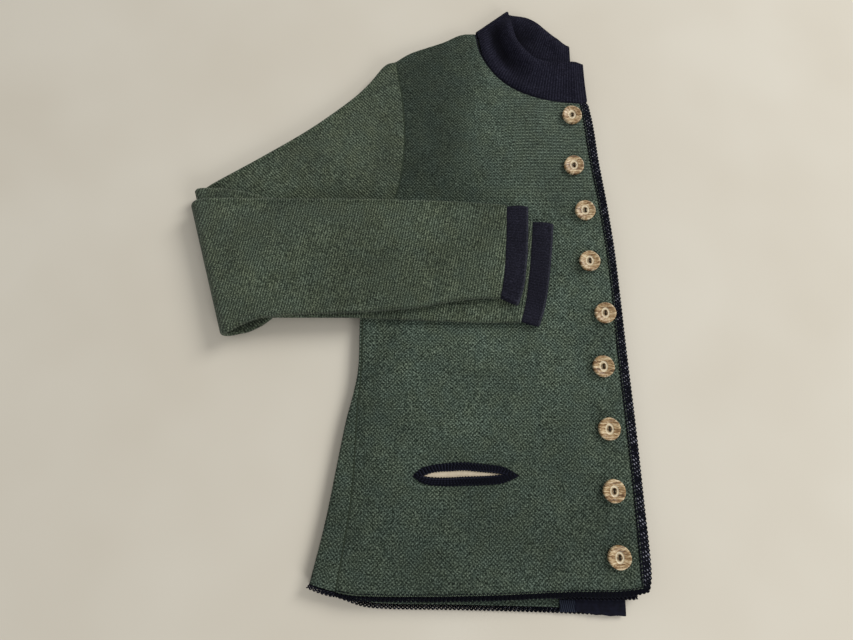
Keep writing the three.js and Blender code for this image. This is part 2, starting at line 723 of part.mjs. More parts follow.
// A table's rows with smooth stations between them, each with the values in common added.
function stationsOf(table, common) {
  const count = (table.length - 1) * STATIONS_BETWEEN;
  const curves = Object.keys(table[0]).map((name) => [
    name,
    new THREE.SplineCurve(table.map((row, i) => new THREE.Vector2(i, row[name]))),
  ]);
  return Array.from({ length: count + 1 }, (_, k) => ({
    ...common,
    ...Object.fromEntries(curves.map(([name, curve]) => [name, curve.getPoint(k / count).y])),
  }));
}

function sleeve(upperArm, forearm, foldRadius) {
  const half = PAIR / 2;
  const below = stationsOf(upperArm, { s: ELBOW_AXIS - foldRadius, half, tilt: 0 });
  const fold = foldStations(forearm[0], 1, foldRadius, ELBOW_AXIS, half, ELBOW_STEPS, 0, Math.PI);
  const above = stationsOf(forearm, { s: ELBOW_AXIS + foldRadius, half });
  return loftRings([
    ...below.slice(0, -1).map((station) => ringOf(station, ARMHOLE_STEPS, rise)),
    ...fold.map((station) => ringOf(station, ARMHOLE_STEPS, rise)),
    ...above.slice(1).map((station) => ringOf(station, ARMHOLE_STEPS, rise)),
  ]);
}

// A flattened tube whose wall turns back inwards at the hand. A step is a share of the way along,
// its share of the thickness and how far its ends stay inside.
const CUFF_STEPS = rows(
  "t thick in",
  [0, 0.88, 0.3], [0.06, 1, 0], [0.5, 1, 0], [0.93, 1, 0], [1, 0.8, 0.5],
  [0.99, 0.3, 2.1], [0.3, 0.24, 2.3],
);

function cuff([first, last], foldRadius) {
  const rings = CUFF_STEPS.map((step) => {
    const at = (name) => mix(first[name], last[name], step.t);
    const [dx, dy] = [at("bx") - at("ax"), at("by") - at("ay")];
    const share = step.in / Math.hypot(dx, dy);
    const inward = { x: share * dx, y: share * dy };
    const station = {
      ax: at("ax") + inward.x,
      ay: at("ay") + inward.y,
      bx: at("bx") - inward.x,
      by: at("by") - inward.y,
      bow: at("bow"),
      s: ELBOW_AXIS + foldRadius,
      half: (PAIR / 2) * step.thick,
    };
    return ringOf(station, 5, rise);
  });
  return loftRings(rings);
}

// ---------------------------------------------------------------- collar

// The right front's ply runs to the shoulder, turns under and becomes one with the folded back
// collar, whose plies and the left front's share one body with grooves round its rim.
function collar() {
  const half = CLOTH / 2;
  const seam = shifted(RIGHT_NECK_POINTS, SEAM_GAP).toReversed();
  const top = along(RIGHT_COLLAR_TOP, NECK_STEPS).toReversed();
  const s = (FRONT_LOW + FRONT_HIGH) / 2;
  const front = seam.slice(0, -1).map((p, i) => {
    const lift = COLLAR_LIFT * smooth((NECK_STEPS - i) / 5);
    return { ax: p.x, ay: p.y, bx: top[i].x, by: top[i].y, s, half, lift };
  });
  const fold = foldStations(
    COLLAR_SHOULDER, -1, COLLAR_FOLD, s - COLLAR_FOLD, half, 5, Math.PI, 0,
  );
  const last = fold.at(-1);
  const [dx, dy] = COLLAR_RETURN;
  const under = { ...last, ax: last.ax + dx, ay: last.ay + dy, bx: last.bx + dx, by: last.by + dy };
  const ply = loftRings([
    ...[{ ...RIGHT_COLLAR_END, s, half }, ...front].map((station) => ringOf(station, 4, collarHeight)),
    ...[...fold, under].map((station) => ringOf(station, 4, rise)),
  ]);
  return ply.add(backCollar()).add(leftCollar());
}

const shoulderLine = (steps) =>
  Array.from({ length: steps + 1 }, (_, i) => ({
    x: mix(COLLAR_SHOULDER.ax, COLLAR_SHOULDER.bx, i / steps),
    y: mix(COLLAR_SHOULDER.ay, COLLAR_SHOULDER.by, i / steps),
  }));

function backCollar() {
  const bottom = shifted(BACK_NECK_POINTS, SEAM_GAP);
  const top = along(BACK_COLLAR_TOP, BACK_NECK_POINTS.length - 1);
  const left = shoulderLine(4);
  [bottom[0], top[0]] = [left[0], left[4]];
  const right = left.map((_, j) => mixPoint(bottom.at(-1), top.at(-1), j / 4));
  const layers = rows(
    "inset share",
    [RIM, 0], [0, 0.18], [COLLAR_GROOVE, 0.34], [0, 0.5], [COLLAR_GROOVE, 0.66], [0, 0.82], [RIM, 0.995],
  ).map(({ inset, share }) => ({ inset, s: BACK_HIGH * share }));
  return wall(patch(bottom, top, left, right), layers, rise);
}

function leftCollar() {
  const bottom = shifted(LEFT_NECK_POINTS, SEAM_GAP);
  const top = along(LEFT_COLLAR_TOP, bottom.length - 1);
  const left = shoulderLine(3);
  [bottom[0], top[0]] = [left[0], left[3]];
  const right = left.map((_, j) => mixPoint(bottom.at(-1), top.at(-1), j / 3));
  return wall(patch(bottom, top, left, right), plainRim(0, CLOTH), rise);
}

// ---------------------------------------------------------------- buttons

function buttonGeometry() {
  const profile = rows(
    "r z", // a little dished inside its round rim
    [0, 0], [8.8, 0], [BUTTON_RADIUS, 1.4], [9.6, 2.9], [8.2, BUTTON_THICKNESS], [6, 3], [0, 2.8],
  );
  const lathe = new THREE.LatheGeometry(profile.map((p) => new THREE.Vector2(p.r, p.z)), 16);
  return geometryOf(solidFromGeometry(lathe.rotateX(Math.PI / 2)));
}

// A button sits clear of the highest cloth below it, tilted as the cloth slopes.
function seatButton(mesh, { x, y }) {
  const reach = BUTTON_RADIUS * 0.8; // the slope is taken across most of the disc
  const height = (dx, dy) => frontHeight(x + dx, y + dy, FRONT_HIGH);
  const slope = {
    x: (height(reach, 0) - height(-reach, 0)) / (2 * reach),
    y: (height(0, reach) - height(0, -reach)) / (2 * reach),
  };
  const places = Array.from({ length: 24 }, (_, k) => {
    const turn = (k * Math.PI) / 6;
    const r = k < 12 ? BUTTON_RADIUS : BUTTON_RADIUS / 2;
    return [r * Math.cos(turn), r * Math.sin(turn)];
  });
  const overPlane = places.map(([dx, dy]) => height(dx, dy) - slope.x * dx - slope.y * dy);
  mesh.position.set(x, y, Math.max(...overPlane) + BUTTON_SEAT);
  const normal = new THREE.Vector3(-slope.x, -slope.y, 1).normalize();
  mesh.quaternion.setFromUnitVectors(new THREE.Vector3(0, 0, 1), normal);
}

// ---------------------------------------------------------------- materials and assembly

const yarn = (color) => new THREE.MeshStandardMaterial({ color, roughness: 0.95, metalness: 0 });
const GREEN = yarn(0x3f4a3e);
const NAVY = yarn(0x1e1f2a);
const CREAM = yarn(0xd8d0bc);
const ANTLER = new THREE.MeshStandardMaterial({ color: 0x8a7a62, roughness: 0.55, metalness: 0 });

const cardigan = new THREE.Group();

function addPiece(name, geometry, material) {
  const mesh = new THREE.Mesh(geometry, material);
  mesh.name = name;
  cardigan.add(mesh);
  return mesh;
}

addPiece("right_front", geometryOf(rightFront()), GREEN);
addPiece("back", geometryOf(foldedBack()), GREEN);
addPiece("left_front", geometryOf(leftFront()), GREEN);
addPiece("right_sleeve", geometryOf(sleeve(RIGHT_UPPER_ARM, RIGHT_FOREARM, INNER_FOLD)), GREEN);
addPiece("left_sleeve", geometryOf(sleeve(LEFT_UPPER_ARM, LEFT_FOREARM, OUTER_FOLD)), GREEN);
addPiece("right_cuff", geometryOf(cuff(RIGHT_CUFF, INNER_FOLD)), NAVY);
addPiece("left_cuff", geometryOf(cuff(LEFT_CUFF, OUTER_FOLD)), NAVY);
addPiece("collar", geometryOf(collar()), NAVY);
addPiece("right_front_trim", geometryOf(rightEdging()), NAVY);
addPiece("back_hem_trim", geometryOf(backEdging()), NAVY);
addPiece("left_front_trim", geometryOf(leftEdging()), NAVY);
addPiece("left_front_facing", geometryOf(facing()), NAVY);
addPiece("pocket_trim", geometryOf(pocketEdging()), NAVY);
addPiece("pocket_lining", geometryOf(pocketLining()), CREAM);
BUTTONS.forEach((place, i) => {
  seatButton(addPiece(`button_${i + 1}`, buttonGeometry(), ANTLER), place);
});

// the origin is the middle of the footprint, on the surface below
const footprint = new THREE.Box3().setFromObject(cardigan).getCenter(new THREE.Vector3());
cardigan.position.set(-footprint.x, -footprint.y, 0);

export default cardigan;
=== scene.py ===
"""The looks of a knitted trachten cardigan that lies folded on a pale table.

Lengths are in millimetres until a mesh is made. A point of the pressed stack is (x, y, s), where s
is its height with all plies pressed flat, and rise() turns s into a real height.
"""

import math

import bpy
import numpy as np
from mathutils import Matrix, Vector


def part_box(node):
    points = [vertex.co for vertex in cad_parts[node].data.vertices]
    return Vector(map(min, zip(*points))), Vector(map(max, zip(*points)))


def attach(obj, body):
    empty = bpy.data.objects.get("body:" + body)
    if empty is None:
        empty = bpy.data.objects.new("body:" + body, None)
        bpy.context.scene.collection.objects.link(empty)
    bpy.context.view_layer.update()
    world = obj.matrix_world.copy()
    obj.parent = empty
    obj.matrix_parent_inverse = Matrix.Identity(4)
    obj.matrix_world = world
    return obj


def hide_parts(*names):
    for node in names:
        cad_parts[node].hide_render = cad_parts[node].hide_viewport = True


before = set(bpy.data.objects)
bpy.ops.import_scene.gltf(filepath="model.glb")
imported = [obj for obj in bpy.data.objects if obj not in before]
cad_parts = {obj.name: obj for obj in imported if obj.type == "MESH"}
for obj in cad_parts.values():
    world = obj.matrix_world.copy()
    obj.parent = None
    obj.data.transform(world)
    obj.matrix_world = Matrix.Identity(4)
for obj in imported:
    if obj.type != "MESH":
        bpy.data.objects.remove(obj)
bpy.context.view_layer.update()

# ---------------------------------------------------------------- driving dimensions

MM = 0.001
TAU = 2 * math.pi

PLY = 2.4  # thickness of the knit
PAIR = 5.4  # two plies pressed together
FRONT_LOW, FRONT_HIGH = 8.6, 11.2  # heights of the right front's faces
FRONT_MIDDLE = (FRONT_LOW + FRONT_HIGH) / 2
UPPER_BACK, LOWER_BACK = 6.95, 4.25  # middle surfaces of the folded back's two plies
LEFT_MIDDLE = 1.3  # and of the left front
SEAM_GAP = 0.35
RIM = 0.9  # how far a ply's round edge stands out
TUBE_RIM = 0.4  # and the edge of a sleeve or cuff
BACK_FOLD = (UPPER_BACK - LOWER_BACK) / 2
SIDE_RADIUS = (FRONT_MIDDLE - UPPER_BACK) / 2
INNER_FOLD = 2.9  # radius of the right sleeve's elbow fold
OUTER_FOLD = 8.65  # and of the left sleeve's, which wraps it
ELBOW_AXIS = 11.35  # the height about which both turn
SECTION_HALF = PAIR / 2  # half of a sleeve's thickness
TUBE_HALF = 1.5  # and of the tube that the middle of its knit makes
EDGE_ROLL = 1.5  # how far a sleeve's folded edges stand proud
ROLL_PLACE, ROLL_WIDTH = 2.4, 2.2
EDGE_FADE, ELBOW_FADE, END_FADE = 22, 30, 20  # how near these a sleeve's creases start to die out
DROOP = 3.2  # how far the free front edge sinks past the back's fold
POCKET_SWELL = 2.6  # how far the front stands up round the pocket
POCKET_REACH = (64, 38)
LOOSENESS = 1.3  # how far the front stands off the back where nothing holds it
COLLAR_HEIGHT = 38
COLLAR_LIFT = 3.2  # of the front collar's free edge
CUFF_LENGTH = 20
CUFF_ROLL = 1.55  # radius of the roll at a cuff's opening
CUFF_CORNER = 1.7  # how far that roll and the corners draw in
TURN_IN = 1.8  # from the back's outline to where its flat plies end
WRAP_TOP = 36  # where the strip that wraps round the side ends

RIDGE = 3.2  # from one knit ridge to the next
STITCH = 3.3
SLEEVE_RIDGE = 2.35  # the sleeves are knitted finer
SLEEVE_STITCH = 3.1
SLEEVE_ROWS = (-0.70, -0.714)  # the way the upper arm's rows follow each other
RIDGE_STEPS = 4  # rows of points in each ridge where it shows
HIDDEN_STEPS = 2  # and where it is hidden
RIDGE_HEIGHT = 0.1
COLUMN = 4.4  # from one point to the next along a ridge
RIB = 2.6  # from one rib of a cuff or the collar to the next
RIB_HEIGHT = 0.12
TOOTH = 1.4  # how far the crochet's teeth reach
FRONT_PITCH, HEM_PITCH, POCKET_PITCH = 3.5, 3.3, 2.7  # of the crochet's stitches

BUTTON_COUNT = 9
BUTTON_RADIUS = 10
DISC_RADIUS = 0.955 * BUTTON_RADIUS  # leaves room for its ragged outline
CARVED_OVAL = (3.0, 3.9)
HOLE_OFFSET = 1.35

# ---------------------------------------------------------------- outlines, as (x, y)

RIGHT_HEM = [
    (-56, -265.7), (-44, -267.5), (13, -268.5), (70, -267.5),
    (135, -265), (180, -264.3), (194.6, -262.3),
]
RIGHT_HEM_EDGE = [
    (-56, -270), (-44, -272), (13, -273), (70, -272), (135, -269.3), (180, -268.8), (200, -265.5),
]
RIGHT_FRONT_EDGE = [
    (194.6, -262.3), (194, -197), (192, -130), (189.5, -68), (188.6, -17), (186.5, 26),
    (182, 76), (177, 118), (174.5, 150), (172, 179.5),
]
RIGHT_TRIM_EDGE = [
    (200, -265.5), (202.6, -254), (201.6, -197), (199.8, -130), (197.2, -68), (195.6, -17),
    (193.5, 31), (189.5, 76), (185, 118), (182.8, 150), (179.5, 181),
]
SIDE_SEAM = [
    (-56, -265.7), (-50, -227), (-45.5, -193), (-43.6, -160), (-42.5, -120), (-40.4, -95),
    (-40, -60), (-40.5, -10), (-43, 45),
]
SIDE_FOLD = [
    (-78.4, -260), (-67.5, -213), (-59, -165), (-52.5, -129), (-46.5, -104), (-43.2, -84),
    (-42.8, -50), (-43, -10), (-44, 36), (-43, 45),
]
ARMHOLE = [
    (-43, 45), (-21.5, 62), (-12, 79), (-6.5, 102), (-3.5, 139), (-6, 183), (-9.8, 206), (-13.2, 226.5),
]
SHOULDER = [(-13.2, 226.5), (1, 236), (20, 243.5), (36, 249.5), (52, 257.5), (67.5, 260.5)]
RIGHT_NECK = [
    (67.5, 260.5), (71.5, 240), (78.5, 224.5), (87, 212), (97.5, 201.5), (111, 192.8),
    (131, 185), (150, 181.2), (172, 179.5),
]
LEFT_NECK = [
    (67.5, 260.5), (71, 240), (78, 223), (88, 208), (102, 196), (122, 186), (140, 180), (155, 178),
]
BACK_NECK = [(67.5, 260.5), (80, 250), (95, 241), (112, 230), (130, 220.5), (147, 211.6), (162.5, 205.5)]
CENTRE_BACK = [
    (191.5, -268), (189.5, -200), (186, -112), (182.5, -17), (178, 71), (171, 130), (162.5, 205.5),
]
BACK_HEM = [
    (-78.4, -260), (-56, -266), (-20, -268.5), (40, -268.5), (110, -267), (160, -268.3), (191.5, -268),
]
BACK_HEM_EDGE = [
    (-80, -263.2), (-57, -270.4), (-20, -273), (40, -273.2), (110, -272), (160, -273.2), (191, -273),
]
WRAP_HEM = [(-78.4, -260), (-68, -263.6), (-56.6, -266)]
WRAP_HEM_EDGE = [(-80.5, -263), (-69, -267.2), (-57, -270.2)]
LEFT_HEM = [
    (-78.4, -260), (-60, -267), (-45, -272.5), (-30, -276.5), (46, -278.5), (112, -280), (176, -282),
]
LEFT_HEM_EDGE = [
    (-80, -263.6), (-61, -271), (-46, -276.5), (-31, -280.4), (46, -282.5), (112, -284), (180, -286.5),
]
LEFT_FRONT_EDGE = [(176, -282), (175, -197), (172, -110), (169.5, -17), (166, 71), (159, 130), (155, 178)]
LEFT_TRIM_EDGE = [
    (180, -286.5), (182, -277), (181, -197), (178.5, -110), (176, -17), (172.5, 71), (165.5, 130),
    (161.5, 178),
]

RIGHT_COLLAR_TOP = [
    (103, 285.6), (104.6, 273), (106.4, 260), (109.4, 247.5), (115, 239), (122, 231.2), (129.5, 226.6),
    (138, 224.6), (152, 224.6), (169, 225),
]
RIGHT_COLLAR_END = [(178.4, 183.2), (175.6, 223.8)]
LEFT_COLLAR_TOP = [
    (103, 285.6), (104.5, 262), (110, 244), (118, 231), (131, 221), (144, 217), (158, 216),
]
BACK_COLLAR_TOP = [
    (103, 285.6), (113, 281), (123, 278.4), (132, 273), (140, 265), (149, 256.4), (156, 251.4),
    (163, 247.9),
]
COLLAR_SHOULDER = [(69.8, 260), (103, 285.6)]

POCKET = (50, -173.5)
POCKET_CUT = 0.7  # the share of its edging's height that the opening is cut to
# x, and heights above and below the pocket's middle line
SLIT = [
    (12.8, -1.8, 1.8), (24, 2, 3.1), (38, 3, 3.1), (50, 3.5, 2.4), (62, 2.5, 2.1), (75, 1.4, 1.4),
    (88, 0.3, -0.3),
]
POCKET_EDGING = [
    (5.5, -1, 1), (14, 6.4, 8.6), (32, 9.8, 10.6), (50, 10.6, 10), (64, 9.2, 9.6), (84, 7, 8.2),
    (97, -1.6, 1.6),
]

# x, and how far the facing's lower edge stands above its rectangle
FACING_EDGE = [
    (141, 4.2), (146, 3.3), (149, 2.1), (152, 2.5), (157, 1.1), (162, 1.4), (169, 0.2), (175, 0.6),
    (181.5, 0.1),
]

# ---------------------------------------------------------------- sleeves, as (ax, ay, bx, by, bow)
# a section from a to b across the pressed sleeve, and how much of the armhole's bend it follows

RIGHT_UPPER_ARM = [
    (-13.62, 226.7, -43.42, 45.2, 1),
    (-24, 222.5, -52, 42, 0.93),
    (-40, 201, -66, 32, 0.72),
    (-59, 181.5, -84, 17, 0.48),
    (-97, 151, -112, -5, 0.22),
    (-140, 122.5, -138, -22, 0.06),
    (-178, 99, -155, -33, 0),
    (-197.6, 86.5, -160, -36, 0),
]
RIGHT_FOREARM = [
    (-197.6, 86.5, -160, -36, 0),
    (-184, 86.6, -150, -37.5, 0),
    (-159, 84, -128, -38.5, 0),
    (-120, 74.5, -98, -38.6, 0),
    (-53, 69, -46, -38.8, 0),
    (5, 65, 0, -40.6, 0),
    (62, 59, 57, -43, 0),
    (98, 54.5, 88, -43.4, 0.06),
    (116.4, 52.4, 102, -42.8, 0.09),
]
LEFT_UPPER_ARM = [
    (-13.62, 226.7, -43.42, 45.2, 1),
    (-24, 221.5, -52, 41, 0.93),
    (-40, 200, -66, 28, 0.72),
    (-59, 180.5, -84, 9, 0.48),
    (-97, 150, -108, -19, 0.22),
    (-140, 120, -128, -40, 0.06),
    (-176, 92, -144, -49.5, 0),
    (-193.5, 73, -155, -52, 0),
]
LEFT_FOREARM = [
    (-193.5, 73, -155, -52, 0),
    (-181, 73.4, -147, -47.2, 0),
    (-155, 73, -127, -39.8, 0),
    (-100, 72, -94, -37, 0),
    (-53, 72, -41, -35, 0),
    (5, 70.5, 6, -31.4, 0),
    (48, 68.5, 40, -25.6, 0),
    (76, 66.5, 68, -22.6, 0.05),
    (91.6, 65.2, 83, -22.6, 0.08),
]
RIGHT_CUFF = [(116.9, 52.4, 102.5, -42.9, 0.09), (136.8, 52, 118.6, -48.6, 0.12)]
LEFT_CUFF = [(92.1, 65.2, 83.5, -22.7, 0.08), (112.4, 66.6, 99.4, -30.6, 0.15)]

# ---------------------------------------------------------------- swells and creases
# (x, y, half length, half width, turn from +X in degrees, height)

SWELLS = [(70, -30, 240, 105, 92, 1.1), (-95, 55, 110, 80, 30, 0.5)]
CREASES = [
    (83, 130, 62, 15, 96, -1.6),
    (52, 212, 40, 15, 20, -1.2),
    (18, 150, 46, 20, 118, -0.9),
    (122, 130, 60, 26, 98, 0.9),
    (50, 120, 40, 22, 84, 0.5),
    (105, -118, 78, 17, 84, -1.2),
    (12, -225, 48, 15, 84, -1.1),
    (148, -150, 66, 16, 88, 0.7),
    (52, -95, 55, 30, 100, 0.8),
    (-12, -120, 48, 16, 78, -0.8),
    (80, -225, 50, 26, 80, 0.5),
]
# and the ones that the solids leave out
FINE_CREASES = [
    (60, 148, 34, 7, 104, 0.35),
    (104, 152, 30, 7, 88, 0.4),
    (30, 178, 30, 8, 140, 0.35),
    (132, 88, 24, 6, 120, -0.3),
    (-8, -170, 40, 7, 84, 0.35),
    (30, -118, 34, 7, 96, 0.35),
    (78, -128, 36, 7, 80, -0.35),
    (128, -206, 44, 7, 92, 0.4),
    (60, -238, 26, 7, 84, 0.35),
    (-30, -236, 26, 6, 76, -0.3),
    (166, -96, 44, 6, 90, 0.3),
    (148, 30, 30, 7, 96, 0.3),
    (74, 206, 46, 26, 62, 1.6),
    (128, 150, 40, 16, 110, 0.9),
    (96, 152, 46, 12, 88, -0.8),
    (30, 214, 30, 14, 28, -0.5),
    (6, -250, 30, 10, 80, 0.4),
    (120, -230, 40, 12, 86, -0.6),
    (164, -236, 40, 10, 92, 0.5),
    (-26, -205, 40, 10, 78, 0.5),
    (96, -70, 26, 12, 88, 0.6),
]
COLLAR_CREASES = [
    (122, 208, 16, 6, 60, -0.3),
    (150, 200, 16, 8, 84, 0.5),
    (166, 204, 18, 7, 96, 0.4),
]
UPPER_ARM_PUFFS = [
    (-60, 108, 70, 22, 146, 1.3),
    (-42, 152, 42, 12, 152, 0.9),
    (-92, 96, 40, 11, 138, 0.7),
    (-30, 96, 30, 9, 118, 0.5),
    (-112, 118, 40, 9, 150, 0.5),
]
FOREARM_PUFFS = [
    (-60, 30, 110, 26, 2, 1.2),
    (30, 34, 70, 14, -4, 0.9),
    (-120, 8, 48, 12, 16, 0.8),
    (-12, -8, 60, 9, 4, 0.5),
    (56, 8, 24, 8, 78, 0.5),
    (-150, 44, 30, 9, 60, 0.6),
]
# where the sleeves press the front flat, and how soon it rises beside them and its seams
FOREARM_BAND = {"low": -54, "high": 78, "end": 142, "ramp": 28}
SEWN_RAMP = 22

# the middle of the lining is the pocket's middle, which ties these tables to the frame
lining_low, lining_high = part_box("pocket_lining")
SHIFT = [(lining_low[i] + lining_high[i]) / 2 / MM - POCKET[i] for i in (0, 1)]

# ---------------------------------------------------------------- curves and heights


def smooth(t):
    t = np.clip(t, 0, 1)
    return t * t * (3 - 2 * t)


def mix(a, b, t):
    return a + (b - a) * t


def hill(share, centre, half_width):
    return np.exp(-(((share - centre) / half_width) ** 2))


def cubic(b, c, start, end, t):
    """From b to c with these slopes at the ends."""
    return b + start * t + (3 * (c - b) - 2 * start - end) * t**2 + (2 * (b - c) + start + end) * t**3


def curve(points, per_span=16):
    """A centripetal Catmull-Rom curve through the points, as a fine polyline."""
    p = np.array(points, float)
    p = np.vstack([2 * p[0] - p[1], p, 2 * p[-1] - p[-2]])
    made = []
    for a, b, c, d in zip(p, p[1:], p[2:], p[3:]):
        ta, tb, tc = (math.sqrt(math.dist(m, n)) for m, n in ((a, b), (b, c), (c, d)))
        start = ((b - a) / ta - (c - a) / (ta + tb) + (c - b) / tb) * tb
        end = ((c - b) / tb - (d - b) / (tb + tc) + (d - c) / tc) * tb
        for t in np.arange(per_span) / per_span:
            made.append(cubic(b, c, start, end, t))
    return np.array([*made, p[-2]])


def lengths(line):
    return np.concatenate([[0], np.cumsum(np.linalg.norm(np.diff(line, axis=0), axis=1))])


def resample(line, count):
    """count + 1 points at even spaces along a polyline."""
    far = lengths(line)
    where = np.linspace(0, far[-1], count + 1)
    return np.stack([np.interp(where, far, line[:, k]) for k in range(line.shape[1])], axis=1)


def shifted(line, distance):
    """A line moved to the left of the way it runs."""
    way = np.gradient(line, axis=0)
    way /= np.linalg.norm(way, axis=1, keepdims=True) + 1e-9
    return line + distance * np.stack([-way[:, 1], way[:, 0]], axis=1)


def joined(*tables):
    """Curves end to end, which share their end points."""
    lines = [curve(t) for t in tables]
    return np.vstack([lines[0], *(line[1:] for line in lines[1:])])


def bumps(table, x, y):
    total = np.zeros(np.broadcast(x, y).shape)
    for bx, by, half_length, half_width, turn, height in table:
        c, s = math.cos(math.radians(turn)), math.sin(math.radians(turn))
        u = ((x - bx) * c + (y - by) * s) / half_length
        v = ((y - by) * c - (x - bx) * s) / half_width
        total += height * np.exp(-1.5 * (u * u + v * v))
    return total


def rise(x, y, s):
    return s * (1 + bumps(SWELLS, x, y) / FRONT_HIGH)


BODY_SIDE = np.array([*SIDE_SEAM, *ARMHOLE[1:]])
BODY_TOP = np.array([*SHOULDER, *RIGHT_NECK[1:]])
BACK_LINE = np.array(CENTRE_BACK)


def relief(x, y):
    """How far the right front stands off the back."""
    band = FOREARM_BAND
    off_sleeve = np.maximum(np.maximum(band["low"] - y, y - band["high"]), x - band["end"])
    off_side = x - np.interp(y, BODY_SIDE[:, 1], BODY_SIDE[:, 0])
    off_top = np.interp(x, BODY_TOP[:, 0], BODY_TOP[:, 1]) - y
    free = smooth(off_sleeve / band["ramp"]) * smooth(off_side / SEWN_RAMP) * smooth(off_top / SEWN_RAMP)
    loose = LOOSENESS + bumps(CREASES, x, y) + bumps(FINE_CREASES, x, y)
    return free * np.maximum(0, loose)


def pocket_swell(x, y):
    reach = np.hypot((x - POCKET[0]) / POCKET_REACH[0], (y - POCKET[1]) / POCKET_REACH[1])
    return POCKET_SWELL * smooth((1.3 - reach) / 0.7)


def droop(x, y):
    return DROOP * smooth((x - np.interp(y, BACK_LINE[:, 1], BACK_LINE[:, 0]) - 1) / 16)


def front_height(x, y, s):
    return rise(x, y, s) + relief(x, y) + pocket_swell(x, y) - droop(x, y)


# ---------------------------------------------------------------- meshes


def mesh_object(name, points, faces, uvs=None):
    """A mesh of quads from arrays. The points are in millimetres, uvs one for each face corner."""
    co = (np.asarray(points, float) + [SHIFT[0], SHIFT[1], 0]) * MM
    co[:, 2] = np.maximum(co[:, 2], 0)
    faces = np.asarray(faces, np.int32)
    me = bpy.data.meshes.new(name)
    me.vertices.add(len(co))
    me.vertices.foreach_set("co", co.astype(np.float32).ravel())
    me.loops.add(faces.size)
    me.loops.foreach_set("vertex_index", faces.ravel())
    me.polygons.add(len(faces))
    me.polygons.foreach_set("loop_start", np.arange(0, faces.size, faces.shape[1], dtype=np.int32))
    me.polygons.foreach_set("use_smooth", np.ones(len(faces), bool))
    me.update(calc_edges=True)
    if uvs is not None:
        me.uv_layers.new(name="knit").data.foreach_set("uv", np.asarray(uvs, np.float32).ravel())
    made = bpy.data.objects.new(name, me)
    bpy.context.scene.collection.objects.link(made)
    return made


def grid_quads(rows, columns, goes_round=False):
    """Quads of a grid of points in rows. goes_round joins its last column to its first."""
    across = np.arange(columns if goes_round else columns - 1)
    j, i = np.meshgrid(np.arange(rows - 1), across, indexing="ij")
    k = (i + 1) % columns
    here, above = j * columns, (j + 1) * columns
    return np.stack([here + i, here + k, above + k, above + i], axis=-1).reshape(-1, 4)


def cap_quads(first, sides, flip):
    """Quads across a ring of points, numbered from the first."""
    k = np.arange(1, sides // 2)
    quads = first + np.stack([k - 1, k, sides - 1 - k, (sides - k) % sides], axis=1)
    return quads[:, ::-1] if flip else quads


def grid_uvs(u, v, goes_round=False, once_round=0):
    """Corner coordinates for grid_quads, from each point's own."""
    if goes_round:
        u = np.hstack([u, u[:, :1] + once_round])
        v = np.hstack([v, v[:, :1]])
    at = np.stack([u, v], axis=-1)
    corners = np.stack([at[:-1, :-1], at[:-1, 1:], at[1:, 1:], at[1:, :-1]], axis=2)
    return corners.reshape(-1, 4, 2)


def unit(vectors):
    return vectors / (np.linalg.norm(vectors, axis=-1, keepdims=True) + 1e-12)


def shell(name, points, quads, uvs, outer, inner, height, lift, rim):
    """A closed ply round a surface of quads in the pressed stack, with a round rim. outer and
    inner are how far its two faces stand off the surface, and lift is added to each height."""
    used, quads = np.unique(quads, return_inverse=True)
    quads = quads.reshape(-1, 4)
    count = len(used)
    points = points[used]
    outer = outer[used][:, None]
    lift = lift[used]
    corners = points[quads]
    facing = np.cross(corners[:, 2] - corners[:, 0], corners[:, 3] - corners[:, 1])
    normals = np.zeros_like(points)
    for k in range(4):
        np.add.at(normals, quads[:, k], unit(facing))
    normals = unit(normals)

    edges = np.stack([quads, np.roll(quads, -1, axis=1)], axis=2).reshape(-1, 2)
    low_high = np.sort(edges, axis=1).astype(np.int64)
    keys = low_high[:, 0] * count + low_high[:, 1]
    _, which, times = np.unique(keys, return_inverse=True, return_counts=True)
    free = np.flatnonzero(times[which.ravel()] == 1)
    a, b = edges[free].T
    uv_a = uvs.reshape(-1, 2)[free]
    uv_b = np.roll(uvs, -1, axis=1).reshape(-1, 2)[free]
    away = unit(np.cross(points[b] - points[a], facing[free // 4]))
    outward = np.zeros_like(points)
    np.add.at(outward, a, away)
    np.add.at(outward, b, away)
    outward = unit(outward)

    at_rim = np.unique(np.concatenate([a, b]))
    place = np.full(count, -1)
    place[at_rim] = np.arange(len(at_rim))
    rings = []
    for turn in (0.25, 0.5, 0.75):
        c, s = math.cos(turn * math.pi), math.sin(turn * math.pi)
        stand = outer if c > 0 else inner
        rings.append((points + outward * rim * s + normals * stand * c)[at_rim])
    all_points = np.vstack([points + normals * outer, points - normals * inner, *rings])
    all_lift = np.concatenate([lift, lift, *([lift[at_rim]] * len(rings))])
    stages = [(a, b)]
    for k in range(len(rings)):
        start = 2 * count + k * len(at_rim)
        stages.append((start + place[a], start + place[b]))
    stages.append((count + a, count + b))
    faces = [quads, quads[:, ::-1] + count]
    corner_uvs = [uvs, uvs[:, ::-1]]
    for (a0, b0), (a1, b1) in zip(stages, stages[1:]):
        faces.append(np.stack([b0, a0, a1, b1], axis=1))
        corner_uvs.append(np.stack([uv_b, uv_a, uv_a, uv_b], axis=1))
    x, y, s = all_points.T
    z = height(x, y, s) + all_lift
    return mesh_object(name, np.stack([x, y, z], axis=1), np.vstack(faces), np.vstack(corner_uvs))


